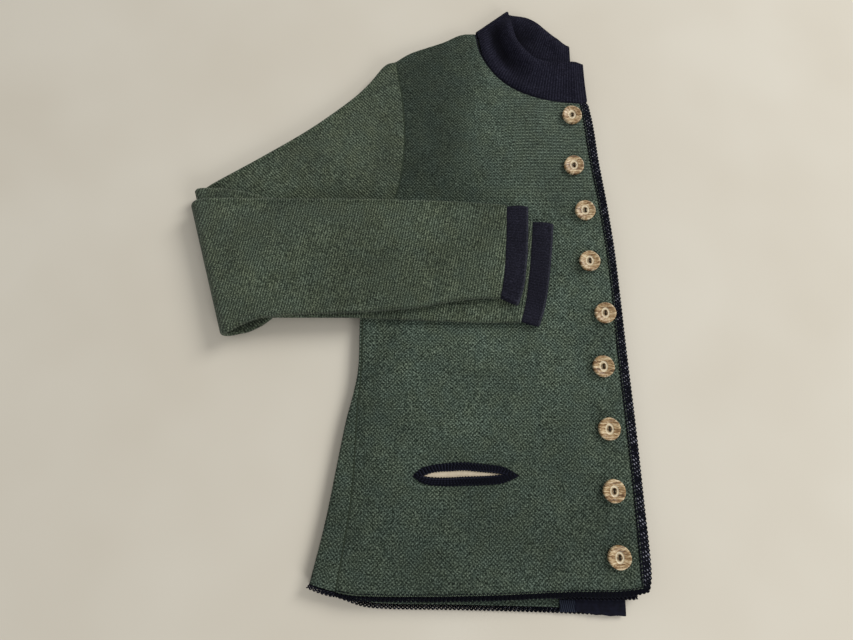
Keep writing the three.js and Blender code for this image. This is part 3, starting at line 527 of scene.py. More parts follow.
def cloth(
    name, x, y, s, u, v, outer, inner, height,
    lift=0.0, rim=RIM, keep=slice(None), flip=False, once_round=None,
):
    """A shell round a grid of points in rows. u and v are its knit coordinates. keep picks quads,
    flip turns the cloth over, and once_round closes it to a tube and is u's step over its seam."""
    x, y, s, v, outer, lift = np.broadcast_arrays(x, y, s, v, outer, lift)
    tube = once_round is not None
    quads = grid_quads(*x.shape, tube)[keep]
    uvs = grid_uvs(np.broadcast_to(u, x.shape), v, tube, once_round)[keep]
    if flip:
        quads, uvs = quads[:, ::-1], uvs[:, ::-1]
    points = np.stack([x, y, s], axis=-1).reshape(-1, 3)
    return shell(name, points, quads, uvs, outer.ravel(), inner, height, lift.ravel(), rim)


def ridged(v, height=RIDGE_HEIGHT):
    """How far a knit face stands off its middle surface, at v ridges or ribs from the first."""
    return PLY / 2 - height + height * np.cos(TAU * v)


# ---------------------------------------------------------------- body panels


class Rows:
    """Knit rows across a panel: lines from its left outline to its right one, which follow the
    hem at the bottom and run level higher up."""

    START = -266.0
    FADE = 160.0

    def __init__(self, hem, left, right, step):
        self.hem = shifted(curve(hem), RIM)
        self.left = shifted(left, -RIM)
        self.right = shifted(right, RIM)
        top = min(self.left[:, 1].max(), self.right[:, 1].max())
        levels = np.arange(self.START, top, step)
        ends = np.array([[self.end(self.left, level), self.end(self.right, level)] for level in levels])
        wide = ends[:, 1] - ends[:, 0] > 5
        self.levels = levels[wide]
        self.ends = ends[wide]

    def height_of(self, x, level):
        dip = np.interp(x, self.hem[:, 0], self.hem[:, 1]) - self.START
        return level + dip * (1 - smooth((level - self.START) / self.FADE))

    def end(self, line, level):
        x = np.interp(level, line[:, 1], line[:, 0])
        for _ in range(4):
            x = np.interp(self.height_of(x, level), line[:, 1], line[:, 0])
        return x

    def grid(self, across):
        """x and y of points at these shares of the way across each row."""
        x = mix(self.ends[:, :1], self.ends[:, 1:], across[None, :])
        return x, self.height_of(x, self.levels[:, None])


def front_panel(name, hem, left, right, ridge_steps, column, middle, height, hole=None):
    """A front in one ply, without the quads whose middle lies in the hole."""
    rows = Rows(hem, left, right, RIDGE / ridge_steps)
    wide = (rows.ends[:, 1] - rows.ends[:, 0]).max()
    x, y = rows.grid(np.linspace(0, 1, int(wide / column) + 1))
    v = np.broadcast_to(((rows.levels - Rows.START) / RIDGE)[:, None], x.shape)
    keep = slice(None)
    if hole:
        quads = grid_quads(*x.shape)
        keep = ~hole(x.ravel()[quads].mean(axis=1), y.ravel()[quads].mean(axis=1))
    return cloth(name, x, y, middle, x / STITCH, v, ridged(v), PLY / 2, height, keep=keep)


def in_pocket(x, y):
    """Whether points lie where the edging hides the cut of the pocket's opening."""
    at, above, below = np.array(POCKET_EDGING, float).T
    above = np.interp(x, at, POCKET_CUT * above, left=-9, right=-9)
    below = np.interp(x, at, POCKET_CUT * below, left=-9, right=-9)
    off = y - POCKET[1]
    return (off < above) & (off > -below)


def right_front():
    return front_panel(
        "right_front_knit",
        RIGHT_HEM,
        joined(SIDE_SEAM, ARMHOLE, SHOULDER),
        joined(RIGHT_FRONT_EDGE, RIGHT_NECK[::-1]),
        RIDGE_STEPS, COLUMN, FRONT_MIDDLE, front_height, in_pocket,
    )


def left_front():
    return front_panel(
        "left_front_knit",
        LEFT_HEM,
        joined(SIDE_FOLD, ARMHOLE, SHOULDER),
        joined(LEFT_FRONT_EDGE, LEFT_NECK[::-1]),
        HIDDEN_STEPS, 2 * COLUMN, LEFT_MIDDLE, rise,
    )


def back():
    """Both halves of the back, joined at the fold down its middle, and the strip of it that comes
    up over the side fold to the right front's side seam."""
    sides = joined(SIDE_FOLD, ARMHOLE, SHOULDER), joined(CENTRE_BACK, BACK_NECK[::-1])
    rows = Rows(BACK_HEM, *sides, RIDGE / HIDDEN_STEPS)
    levels = rows.levels[:, None]
    left, right = rows.ends[:, :1], rows.ends[:, 1:]
    seam = np.interp(levels, *np.array(curve(SIDE_SEAM))[:, ::-1].T)
    seam_x = seam - SEAM_GAP - RIM
    # the side fold's middle surface, squashed where the seam lies close to the fold
    half = np.clip(seam_x - (left + RIM / 2), 0.2, SIDE_RADIUS)
    centre = left + RIM / 2 + half
    shape = levels.shape
    columns = []  # (x, s) of the points of every row
    for t in np.linspace(0, 1, 6)[:-1]:
        columns.append((mix(np.maximum(seam_x, centre + 0.1), centre, t), np.full(shape, FRONT_MIDDLE)))
    for turn in np.linspace(0, 1, 7)[:-1] * math.pi:
        s = FRONT_MIDDLE - SIDE_RADIUS + SIDE_RADIUS * math.cos(turn)
        columns.append((centre - half * math.sin(turn), np.full(shape, s)))
    wraps = len(columns)
    for t in np.linspace(0, 1, 48)[1:]:
        columns.append((mix(left + TURN_IN, right - TURN_IN, t), np.full(shape, UPPER_BACK)))
    folds_from = len(columns)
    for turn in np.linspace(0, 1, 8)[1:-1] * math.pi:
        s = (UPPER_BACK + LOWER_BACK) / 2 + BACK_FOLD * math.cos(turn)
        columns.append((right - TURN_IN + BACK_FOLD * math.sin(turn), np.full(shape, s)))
    folds_to = len(columns)
    for t in np.linspace(0, 1, 48):
        columns.append((mix(right - TURN_IN, left, t), np.full(shape, LOWER_BACK)))
    x = np.hstack([c[0] for c in columns])
    s = np.hstack([c[1] for c in columns])
    y = rows.height_of(np.clip(x, left, right), levels)
    v = np.broadcast_to((levels - Rows.START) / RIDGE, x.shape)
    across = np.cumsum(np.hypot(np.diff(x, axis=1), np.diff(s, axis=1)), axis=1)
    u = np.hstack([np.zeros(shape), across]) / STITCH
    # the wrapping strip ends below the armhole, and the fold down the middle at the neck
    level, column = levels[:-1], np.arange(x.shape[1] - 1)
    past_wrap = (column < wraps) & (level > WRAP_TOP)
    past_fold = (column >= folds_from - 1) & (column < folds_to) & (level > CENTRE_BACK[-1][1])
    keep = ~(past_wrap | past_fold).ravel()
    return cloth("back_knit", x, y, s, u, v, ridged(v), PLY / 2, rise, keep=keep, flip=True)


# ---------------------------------------------------------------- sleeves and cuffs

ARMHOLE_LINE = resample(curve(ARMHOLE), 64)[::-1]


def armhole_bend(t):
    """How far the armhole lies off the straight line between its ends."""
    where = np.clip(t, 0, 1) * (len(ARMHOLE_LINE) - 1)
    index = np.arange(len(ARMHOLE_LINE))
    x = np.interp(where, index, ARMHOLE_LINE[:, 0]) - mix(ARMHOLE_LINE[0, 0], ARMHOLE_LINE[-1, 0], t)
    y = np.interp(where, index, ARMHOLE_LINE[:, 1]) - mix(ARMHOLE_LINE[0, 1], ARMHOLE_LINE[-1, 1], t)
    return x, y


def spline(values, count):
    """A uniform Catmull-Rom curve through a table's rows, at count + 1 places."""
    rows = np.array(values, float)
    where = np.linspace(0, len(rows) - 1, count + 1)
    k = np.minimum(where.astype(int), len(rows) - 2)
    t = (where - k)[:, None]
    a, b, c = rows[np.maximum(k - 1, 0)], rows[k], rows[k + 1]
    d = rows[np.minimum(k + 2, len(rows) - 1)]
    start, end = (c - a) / 2, (d - b) / 2
    return cubic(b, c, start, end, t)


def section_loop(length, points_across, curl_points=4, crowded=0.0):
    """Round a flat tube's middle surface: (share across, share of its half thickness) pairs,
    with the curls' radius and their middles in millimetres from the ends. Crowded points stand
    closer together towards the ends."""
    curl = np.linspace(0, 1, curl_points + 1)[:-1] * math.pi / 2
    start = [((SECTION_HALF - TUBE_HALF * math.cos(p)) / length, math.sin(p)) for p in curl]
    even = np.linspace(0, 1, points_across)
    shares = mix(even, 0.5 - 0.5 * np.cos(math.pi * even), crowded)
    flat = [(t, 1.0) for t in mix(SECTION_HALF / length, 1 - SECTION_HALF / length, shares)]
    upper = start + flat + [(1 - t, off) for t, off in start[::-1]]
    lower = [(t, -off) for t, off in upper[::-1][1:-1]]
    return np.array(upper + lower)


class Stations:
    """Sections along a sleeve, from the armhole round the elbow's fold to the wrist."""

    FOLD_POINTS = 24

    def __init__(self, upper_arm, forearm, radius):
        arm = spline(upper_arm, 200)
        fore = spline(forearm, 300)
        way = fore[0, 2:4] - fore[0, :2]
        out = np.array([way[1], -way[0]]) / np.linalg.norm(way)
        turns = np.linspace(0, math.pi, self.FOLD_POINTS)
        shift = radius * np.sin(turns)[:, None] * out[None, :]
        bow = np.zeros((self.FOLD_POINTS, 1))
        fold = np.hstack([fore[0, :2] + shift, fore[0, 2:4] + shift, bow])
        rows = np.vstack([arm[:-1], fold, fore[1:]])
        tilt = np.concatenate([np.zeros(len(arm) - 1), turns, np.full(len(fore) - 1, math.pi)])
        s = ELBOW_AXIS - radius * np.cos(tilt)
        middle = (rows[:, :2] + rows[:, 2:4]) / 2
        far = lengths(np.column_stack([middle, s]))
        self.table = np.column_stack([rows, s, tilt])
        self.far = far
        self.out = out
        self.elbow = (far[len(arm) - 1], far[len(arm) + self.FOLD_POINTS - 2])
        self.fold_start = fore[0, :2]
        self.fold_way = way / np.linalg.norm(way)

    def at(self, where):
        return np.stack([np.interp(where, self.far, self.table[:, k]) for k in range(7)], axis=1)

    def unfolded(self, x, y, tilt, radius):
        """Stitches across and rows along, as if the sleeve lay open and its elbow unfolded."""
        from_fold = np.stack([x, y], axis=-1) - self.fold_start
        along, off = from_fold @ self.fold_way, from_fold @ self.out
        off = np.where(tilt >= math.pi, math.pi * radius - off, off + radius * (tilt - np.sin(tilt)))
        across = np.array(SLEEVE_ROWS)
        row = along * (self.fold_way @ across) + off * (self.out @ across)
        side = along * (self.out @ across) - off * (self.fold_way @ across)
        return side / SLEEVE_STITCH, row / SLEEVE_RIDGE


def tube_points(table, out, loop):
    """Points round each section of a tube: x, y, s and the share across."""
    ax, ay, bx, by, bow, s, tilt = (table[:, k : k + 1] for k in range(7))
    t, off = loop[:, 0][None, :], loop[:, 1][None, :] * TUBE_HALF
    bend_x, bend_y = armhole_bend(loop[:, 0])
    across = off * np.sin(tilt)
    x = mix(ax, bx, t) + bow * bend_x + out[0] * across
    y = mix(ay, by, t) + bow * bend_y + out[1] * across
    return x, y, s - off * np.cos(tilt) + 0 * t, np.broadcast_to(t, x.shape)


def sleeve(name, upper_arm, forearm, radius, arm_puffs, fore_puffs, arm_shows):
    stations = Stations(upper_arm, forearm, radius)
    total = stations.far[-1]
    turn = sum(stations.elbow) / 2
    fine, coarse = 1.0, 2.0
    first, second = (fine, coarse) if arm_shows else (coarse, fine)
    middle = coarse * round(turn / coarse)
    where = np.concatenate([np.arange(0, middle, first), np.arange(middle, total, second), [total]])
    table = stations.at(where)
    width = np.hypot(table[:, 2] - table[:, 0], table[:, 3] - table[:, 1]).mean()
    loop = section_loop(width, int(width / COLUMN), crowded=0.8)
    x, y, s, t = tube_points(table, stations.out, loop)
    u, v = stations.unfolded(x, y, table[:, 6:7], radius)
    # creases stand up on the face of each half that shows
    upward = -loop[:, 1][None, :] * np.cos(table[:, 6:7])
    from_edge = np.minimum(t, 1 - t) * width
    inside = smooth(from_edge / EDGE_FADE)
    on_arm = smooth((stations.elbow[0] - where) / ELBOW_FADE) * smooth(where / END_FADE)
    on_fore = smooth((where - stations.elbow[1]) / ELBOW_FADE) * smooth((total - where) / END_FADE)
    lift = on_arm[:, None] * bumps(arm_puffs, x, y) + on_fore[:, None] * bumps(fore_puffs, x, y)
    lift = np.maximum(lift, 0) * inside * (upward > 0.5)
    # the folded edges stand a little proud
    past_elbow = stations.elbow[0] - where if arm_shows else where - stations.elbow[1]
    shows = smooth(past_elbow / 8)
    lift = lift + EDGE_ROLL * hill(from_edge, ROLL_PLACE, ROLL_WIDTH) * shows[:, None] * (upward > 0.5)
    return cloth(name, x, y, s, u, v, PLY / 2, PLY / 2, rise, lift, TUBE_RIM, once_round=0)


def cuff(name, ends, radius):
    """A ribbed tube, and the roll round its opening."""
    rows = spline(ends, 8)
    steps = np.linspace(0, 1, 9)
    keep = steps < 0.94
    # the corners at the opening are rounded
    drawn = CUFF_CORNER * smooth((steps - 0.4) / 0.6)[:, None] ** 2 * unit(rows[:, 2:4] - rows[:, :2])
    rows[:, :2] += drawn
    rows[:, 2:4] -= drawn
    table = np.column_stack([rows, np.full(len(rows), ELBOW_AXIS + radius), np.full(len(rows), math.pi)])
    opening = table[-1:]
    table, steps = table[keep], steps[keep]
    width = np.hypot(table[:, 2] - table[:, 0], table[:, 3] - table[:, 1]).mean()
    loop = section_loop(width, int(width / (RIB / 4)), 6)
    x, y, s, _ = tube_points(table, (0, 0), loop)
    round_it = lengths(loop * [width, TUBE_HALF])
    u = np.broadcast_to(round_it / RIB, x.shape)
    v = (steps * CUFF_LENGTH / STITCH)[:, None]
    swell = 0.3 * np.sin(math.pi * steps)[:, None]
    made = cloth(
        name + "_rib", x, y, s, u, v, ridged(u, RIB_HEIGHT) + swell - 0.3, PLY / 2 - 0.3, rise,
        rim=TUBE_RIM, once_round=round_it[-1] / RIB + 0.25,
    )
    x, y, s, _ = tube_points(opening, (0, 0), loop)
    way = unit(np.subtract(ends[1][:2], ends[0][:2])[None])[0] * CUFF_CORNER
    roll_path = np.stack([x[0] - way[0], y[0] - way[1], rise(x[0], y[0], s[0])], axis=1)
    roll = yarn(name + "_roll", [(roll_path, CUFF_ROLL)], closed=True, sides=12, ribs=RIB)
    return made, roll


# ---------------------------------------------------------------- yarn


def yarn(name, strands, closed=False, sides=6, ribs=None):
    """Round strands in one mesh. A strand is its points, in real heights, and its radius."""
    all_points, faces, uvs, start = [], [], [], 0
    turns = np.arange(sides) / sides * TAU
    for path, radius, *own in strands:
        path = np.asarray(path, float)
        count = len(path)
        if closed:
            way = unit(np.roll(path, -1, axis=0) - np.roll(path, 1, axis=0))
        else:
            way = unit(np.gradient(path, axis=0))
        side = unit(np.cross(way, [0, 0, 1.0]))
        over = np.cross(side, way)
        far = lengths(np.vstack([path, path[:1]]))
        thick = np.broadcast_to(np.asarray(radius, float), (count,))
        if ribs:
            thick = radius - RIB_HEIGHT / 2 + RIB_HEIGHT / 2 * np.cos(TAU * far[:count] / ribs)
        if not closed:
            thick = thick * np.where(np.isin(np.arange(count), (0, count - 1)), 0.35, 1)
        ring = side[:, None] * np.cos(turns)[None, :, None] + over[:, None] * np.sin(turns)[None, :, None]
        points = path[:, None] + ring * thick[:, None, None]
        all_points.append(points.reshape(-1, 3))
        j, i = np.meshgrid(np.arange(count if closed else count - 1), np.arange(sides), indexing="ij")
        nj, ni = (j + 1) % count, (i + 1) % sides
        quads = np.stack([j * sides + i, j * sides + ni, nj * sides + ni, nj * sides + i], axis=-1)
        run = np.append(own[0], 2 * own[0][-1] - own[0][-2]) if own else far
        v0, v1 = run[j.ravel()], run[j.ravel() + 1]
        u0 = i.ravel() / sides
        u1 = u0 + 1 / sides
        corners = ((u0, v0), (u1, v0), (u1, v1), (u0, v1))
        faces.append(quads.reshape(-1, 4) + start)
        uvs.append(np.stack([np.stack(corner, 1) for corner in corners], axis=1))
        if not closed:
            for end, flip in ((0, True), (count - 1, False)):
                faces.append(cap_quads(start + end * sides, sides, flip))
                uvs.append(np.zeros((len(faces[-1]), 4, 2)))
        start += count * sides
    return mesh_object(name, np.vstack(all_points), np.vstack(faces), np.vstack(uvs))


class Band:
    """The strip between two lines, along which crochet runs: place(q, w) is q stitches along and
    the share w of the way from its inner line to its outer one."""

    def __init__(self, inner, outer, pitch):
        self.inner = inner
        self.outer = outer
        far = lengths((inner + outer) / 2)
        self.count = int(far[-1] / pitch)
        self.q = far / far[-1] * self.count

    def width(self, q):
        return np.interp(q, self.q, np.linalg.norm(self.outer - self.inner, axis=1))

    def place(self, q, w):
        inner = np.stack([np.interp(q, self.q, self.inner[:, k]) for k in (0, 1)], axis=1)
        outer = np.stack([np.interp(q, self.q, self.outer[:, k]) for k in (0, 1)], axis=1)
        return inner + (outer - inner) * np.asarray(w)[:, None]


def crochet(name, band, s, height, stout=1.3, samples=8, teeth=0, closed=False, levels=(0.16, 0.46, 0.76)):
    """Stout strands that swing together and apart by turns, so that small holes stand between
    them in staggered rows and the outer edge is bumpy. The teeth are stitches that reach over the
    knit on the inner side at -1, or on the outer side at 1. v counts stitches."""
    q = np.arange(0, band.count + (0 if closed else 1e-6), 1 / samples)
    wave = TAU * q
    wide = band.width(q)
    thick = np.minimum(stout, wide * 0.165)

    def strand(along, w, rise_by, share, counted):
        p = band.place(np.mod(along, band.count) if closed else np.clip(along, 0, band.count), w)
        z = height(p[:, 0], p[:, 1], s) + rise_by
        return np.column_stack([p, z]), thick * share, counted

    strands = []
    for k, level in enumerate(levels):
        swing = (-1) ** k * np.cos(wave)
        along = q + 0.1 * np.sin(2 * wave)
        strands.append(strand(along, level + 0.13 * swing, 0.5 * swing, 1 + 0.22 * swing, q + k / 2))
    if teeth:
        edge = -0.05 if teeth < 0 else 0.7
        reach = edge + teeth * TOOTH * (0.5 + 0.5 * np.cos(wave)) / wide
        along = q + 0.14 * np.sin(2 * wave)
        strands.append(strand(along, reach, FRONT_HIGH - s + 0.15, 0.42, q + 0.5))
    return yarn(name, strands, closed=closed)


def front_band(edge, edge_outer, hem, hem_outer):
    """Down a front's edge and along its hem."""
    def path(upright, level):
        return np.vstack([resample(curve(upright[::-1]), 440), resample(curve(level[::-1]), 270)[1:]])

    return Band(shifted(path(edge, hem), SEAM_GAP), path(edge_outer, hem_outer), FRONT_PITCH)


def hem_band(hem, outer):
    return Band(shifted(resample(curve(hem), 240), -SEAM_GAP), resample(curve(outer), 240), HEM_PITCH)


def lens(table, steps=24):
    """Points round an outline given by its heights above and below the pocket's middle line."""
    rows = np.array(table, float)
    over = spline(np.column_stack([rows[:, 0], POCKET[1] + rows[:, 1]]), steps * 6)[::-1]
    under = spline(np.column_stack([rows[:, 0], POCKET[1] - rows[:, 2]]), steps * 6)
    return np.vstack([over, under[1:]])


# ---------------------------------------------------------------- collar


def fold_columns(ends, radius, axis, side, turns):
    """Columns of a ply's middle surface that turn about a line, its ends given as two points."""
    a, b = (np.array(p, float) for p in ends)
    way = unit((b - a)[None])[0]
    out = side * np.array([way[1], -way[0]])
    return [((a, b), out * radius * math.sin(turn), axis + radius * math.cos(turn)) for turn in turns]


def collar_relief(kind, t, share):
    """How the two plies that show stand off the stack: a roll along the front's neck seam, its
    free edge rolled over, and the back's outer edge rolled too."""
    if kind == "front":
        free = COLLAR_LIFT * smooth(2.4 * (1 - t)) * share**2
        bent = smooth((t - 0.08) / 0.4) * smooth((1 - t) / 0.1)
        edge = smooth((t - 0.2) / 0.45) * smooth((1 - t) / 0.16)
        return free + 2.4 * bent * hill(share, 0.13, 0.13) + 6.0 * edge * hill(share, 0.84, 0.2)
    if kind == "back":
        ends = smooth(t / 0.2) * smooth((1 - t) / 0.2)
        return ends * (3.6 * hill(share, 0.86, 0.24) + 0.6 * hill(share, 0.4, 0.1))
    return 0 * share


def collar():
    rows = np.linspace(0, 1, 25)
    columns = []  # (lower end, upper end, height, which ply, share of the way along it)

    def ply(bottom, top, s, count, kind=""):
        lower, upper = resample(bottom, count), resample(top, count)
        for k, (p, q) in enumerate(zip(lower, upper)):
            columns.append((p, q, s, kind, k / count))

    def bend(ends, radius, axis, side):
        for (a, b), out, s in fold_columns(ends, radius, axis, side, np.linspace(0, math.pi, 9)[1:-1]):
            columns.append((a + out, b + out, s, "", 0))

    def neck_seam(neck, bent):
        """The collar's side of a seam. Its first points bend to the collar's own shoulder."""
        line = shifted(curve(neck), SEAM_GAP)
        shoulder = np.array(COLLAR_SHOULDER[0], float)
        line[:bent] = mix(shoulder, line[bent], np.linspace(0, 1, bent + 1)[:-1, None])
        return line

    step = RIB / 5
    right_seam = np.vstack([RIGHT_COLLAR_END[:1], neck_seam(RIGHT_NECK, 23)[::-1]])
    right_top = np.vstack([RIGHT_COLLAR_END[1:], curve(RIGHT_COLLAR_TOP)[::-1]])
    ply(right_seam, right_top, FRONT_MIDDLE, int(lengths(right_seam)[-1] / step), "front")
    radius = (FRONT_MIDDLE - UPPER_BACK) / 2
    bend(COLLAR_SHOULDER, radius, FRONT_MIDDLE - radius, -1)
    back_seam = neck_seam(BACK_NECK, 16)
    back_top = curve(BACK_COLLAR_TOP)
    count = int(lengths(back_seam)[-1] / step)
    ply(back_seam, back_top, UPPER_BACK, count, "back")
    bend((back_seam[-1], back_top[-1]), BACK_FOLD, (UPPER_BACK + LOWER_BACK) / 2, 1)
    ply(back_seam[::-1], back_top[::-1], LOWER_BACK, count)
    radius = (LOWER_BACK - LEFT_MIDDLE) / 2
    bend(COLLAR_SHOULDER, radius, LOWER_BACK - radius, -1)
    left_seam = neck_seam(LEFT_NECK, 24)
    ply(left_seam, curve(LEFT_COLLAR_TOP), LEFT_MIDDLE, int(lengths(left_seam)[-1] / (2 * step)))

    inset = RIM / COLLAR_HEIGHT
    share = mix(inset, 1 - inset, rows)
    low = np.array([c[0] for c in columns])
    high = np.array([c[1] for c in columns])
    x = mix(low[:, 0], high[:, 0], share[:, None])
    y = mix(low[:, 1], high[:, 1], share[:, None])
    s = np.broadcast_to(np.array([c[2] for c in columns]), x.shape)
    front = np.array([c[3] == "front" for c in columns])
    lift = np.stack([collar_relief(c[3], c[4], share) for c in columns], axis=1)
    lift = lift + np.where(front, bumps(COLLAR_CREASES, x, y) - droop(x, y), 0)
    middle = len(rows) // 2
    far = lengths(np.column_stack([x[middle], y[middle], s[middle]]))
    u = np.broadcast_to(far / RIB, x.shape)
    v = rows[:, None] * COLLAR_HEIGHT / STITCH
    return cloth(
        "collar_rib", x, y, s, u, v, ridged(u, RIB_HEIGHT), PLY / 2 - 0.2, rise, lift, flip=True
    )


# ---------------------------------------------------------------- buttons


def button(index, seed):
    """An antler disc, a little dished, with a carved oval round two holes that are sewn through."""
    rng = np.random.default_rng(seed)
    around, out = 96, 34
    turn = np.arange(around) / around * TAU
    ragged = 1.0
    for size, waves in ((0.012, 2), (0.008, 5), (0.004, 11)):
        ragged = ragged + size * np.sin(waves * turn + rng.uniform(0, 6))
    r = np.concatenate([np.linspace(0.02, 0.9, out - 6), [0.94, 0.97, 0.99, 1.0, 1.0, 0.985]])
    profile = [(0, 2.7), (0.35, 2.75), (0.62, 3.0), (0.8, 3.5), (0.9, 3.6), (0.94, 3.5), (0.97, 3.3)]
    profile = np.interp(r[:-4], *np.array(profile).T)
    z = np.concatenate([profile, [2.9, 2.2, 1.4, 0.5]])
    x = r[:, None] * ragged * np.cos(turn) * DISC_RADIUS
    y = r[:, None] * ragged * np.sin(turn) * DISC_RADIUS
    z = np.broadcast_to(z[:, None], x.shape).copy()
    inside = r[:, None] < 0.9
    oval = np.hypot(x / CARVED_OVAL[0], y / CARVED_OVAL[1])
    z -= 0.5 * np.exp(-(((oval - 1) / 0.16) ** 2)) * inside
    holes = np.hypot(x / 0.95, (np.abs(y) - HOLE_OFFSET) / 1.05)
    z -= 1.5 * smooth((1.25 - holes) / 0.5) * inside
    grain = math.radians(rng.uniform(-60, 60))
    along = x * math.cos(grain) + y * math.sin(grain)
    cross = y * math.cos(grain) - x * math.sin(grain)
    z += 0.07 * np.sin(cross * 2.1 + 0.6 * np.sin(along * 0.5) + rng.uniform(0, 6)) * inside
    z += 0.03 * np.sin(cross * 5.3 + along * 0.4 + rng.uniform(0, 6)) * inside
    # the underside closes the disc
    under = np.array([0.9, 0.5, 0.02])
    x = np.vstack([x, under[:, None] * np.cos(turn) * DISC_RADIUS])
    y = np.vstack([y, under[:, None] * np.sin(turn) * DISC_RADIUS])
    z = np.vstack([z, np.broadcast_to(np.array([0.05, 0, 0])[:, None], (3, around))])
    rows = x.shape[0]
    sides = grid_quads(rows, around, goes_round=True)
    bottom = cap_quads((rows - 1) * around, around, True)
    faces = np.vstack([sides, cap_quads(0, around, False), bottom])
    place = seat(index)
    points = place(np.stack([x, y, z], axis=-1).reshape(-1, 3))
    flat = np.stack([x, y], axis=-1).reshape(-1, 2)
    made = mesh_object(f"button_{index + 1}_antler", points, faces, flat[faces] / BUTTON_RADIUS)
    thread = []
    for side in (-0.32, 0.32):
        t = np.linspace(-1, 1, 9)
        path = np.column_stack([side + 0.08 * np.sin(4 * t), HOLE_OFFSET * t, 2.05 + 0.62 * (1 - t**4)])
        thread.append((place(path), 0.3))
    ties = yarn(f"button_{index + 1}_thread", thread)
    return made, ties, grain


def seat(index):
    """Turns a button's own points into the frame: on the CAD disc's place, tilted as it is."""
    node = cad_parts[f"button_{index + 1}"]
    co = np.array([v.co for v in node.data.vertices], float) / MM
    middle = (co.max(axis=0) + co.min(axis=0)) / 2
    base = co[np.argsort(co[:, 2])[:16]]
    _, _, axes = np.linalg.svd(base - base.mean(axis=0))
    normal = axes[2] * np.sign(axes[2][2])
    right = unit(np.cross([0, 1.0, 0], normal)[None])[0]
    ahead = np.cross(normal, right)
    origin = base.mean(axis=0) + normal * 0.05
    origin[:2] = mix(origin[:2], middle[:2], 0.5)

    def place(points):
        made = origin + points[:, :1] * right + points[:, 1:2] * ahead + points[:, 2:] * normal
        return made - [SHIFT[0], SHIFT[1], 0]

    return place


# ---------------------------------------------------------------- flat pieces


def swatch(name, left, right, low, high, s, ply, height=rise, swell=0.0, edge=((0, 0),)):
    """A rectangle of cloth, which may swell along its middle line. The edge is (x, rise) pairs, by
    which its lower side stands higher."""
    x, share = np.meshgrid(np.linspace(left, right, 61), np.linspace(0, 1, 17))
    y = mix(low + np.interp(x, *np.array(edge, float).T), high, share)
    wave = 0.2 * np.sin(x / 7 + 1) * np.sin(y / 3) + swell * smooth((0.5 - np.abs(share - 0.5)) / 0.3)
    half = ply / 2
    return cloth(name, x, y, s + half, x / STITCH, y / STITCH, half, half, height, wave, half)


# ---------------------------------------------------------------- materials


class Paint:
    """A material's node tree, built a node at a time."""

    def __init__(self, name, roughness=0.9, sheen=0.0, specular=0.3):
        self.material = bpy.data.materials.new(name)
        self.material.use_nodes = True
        self.tree = self.material.node_tree
        self.shader = self.tree.nodes["Principled BSDF"]
        self.shader.inputs["Roughness"].default_value = roughness
        self.shader.inputs["Sheen Weight"].default_value = sheen
        self.shader.inputs["Sheen Roughness"].default_value = 0.6
        self.shader.inputs["Specular IOR Level"].default_value = specular

    def put(self, socket, value):
        if isinstance(value, bpy.types.NodeSocket):
            self.tree.links.new(value, socket)
        else:
            socket.default_value = value

    def node(self, kind, inputs=(), output=0, **settings):
        made = self.tree.nodes.new("ShaderNode" + kind)
        for key, value in settings.items():
            setattr(made, key, value)
        for key, value in dict(inputs).items():
            self.put(made.inputs[key], value)
        return made.outputs[output]

    def math(self, operation, a, b=0.0):
        return self.node("Math", {0: a, 1: b}, operation=operation)

    def add(self, a, b):
        return self.math("ADD", a, b)

    def times(self, a, b):
        return self.math("MULTIPLY", a, b)

    def sway(self, a, amount):
        """A value from 0 to 1 made to sway round 0 by half the amount."""
        return self.times(self.add(a, -0.5), amount)

    def total(self, first, *others):
        for other in others:
            first = self.add(first, other)
        return first

    def wave(self, a):
        """From 0 to 1, with its crest at each whole number."""
        return self.add(self.times(self.math("COSINE", self.times(a, TAU)), 0.5), 0.5)

    def noise(self, size_mm, detail=3.0, vector=None, output=0):
        inputs = {"Scale": 1000 / size_mm if vector is None else 1 / size_mm, "Detail": detail}
        inputs["Vector"] = vector if vector is not None else self.node("TexCoord", output="Object")
        return self.node("TexNoise", inputs, output)

    def mix(self, share, a, b, blend="MIX"):
        made = self.tree.nodes.new("ShaderNodeMix")
        made.data_type = "RGBA"
        made.blend_type = blend
        for socket, value in ((made.inputs[0], share), (made.inputs[6], a), (made.inputs[7], b)):
            self.put(socket, value)
        return made.outputs[2]

    def ramp(self, value, stops):
        made = self.tree.nodes.new("ShaderNodeValToRGB")
        while len(made.color_ramp.elements) < len(stops):
            made.color_ramp.elements.new(0.5)
        for element, (position, colour) in zip(made.color_ramp.elements, stops):
            element.position = position
            element.color = colour
        self.put(made.inputs[0], value)
        return made.outputs[0]

    def clouded(self, colour, size_mm, detail, share):
        """The colour, lighter and darker by up to this share in soft clouds."""
        stops = [(0.3, grey(1 - share)), (0.7, grey(1 + share))]
        cloud = self.ramp(self.noise(size_mm, detail), stops)
        return self.mix(1.0, colour, cloud, "MULTIPLY")

    def uv(self):
        split = self.tree.nodes.new("ShaderNodeSeparateXYZ")
        self.put(split.inputs[0], self.node("UVMap", uv_map="knit"))
        return split.outputs[0], split.outputs[1]

    def finish(self, colour, height, depth_mm, strength=1.0):
        self.put(self.shader.inputs["Base Color"], colour)
        bump = self.tree.nodes.new("ShaderNodeBump")
        bump.inputs["Distance"].default_value = depth_mm * MM
        bump.inputs["Strength"].default_value = strength
        self.put(bump.inputs["Height"], height)
        self.put(self.shader.inputs["Normal"], bump.outputs[0])
        return self.material


def srgb(r, g, b):
    """A colour as the eye sees it, 0 to 255, in the linear values that shaders take."""
    def linear(c):
        c /= 255
        return c / 12.92 if c <= 0.04045 else ((c + 0.055) / 1.055) ** 2.4

    return (linear(r), linear(g), linear(b), 1)


def grey(shade):
    return (shade, shade, shade, 1)


BLACK, WHITE = grey(0), grey(1)


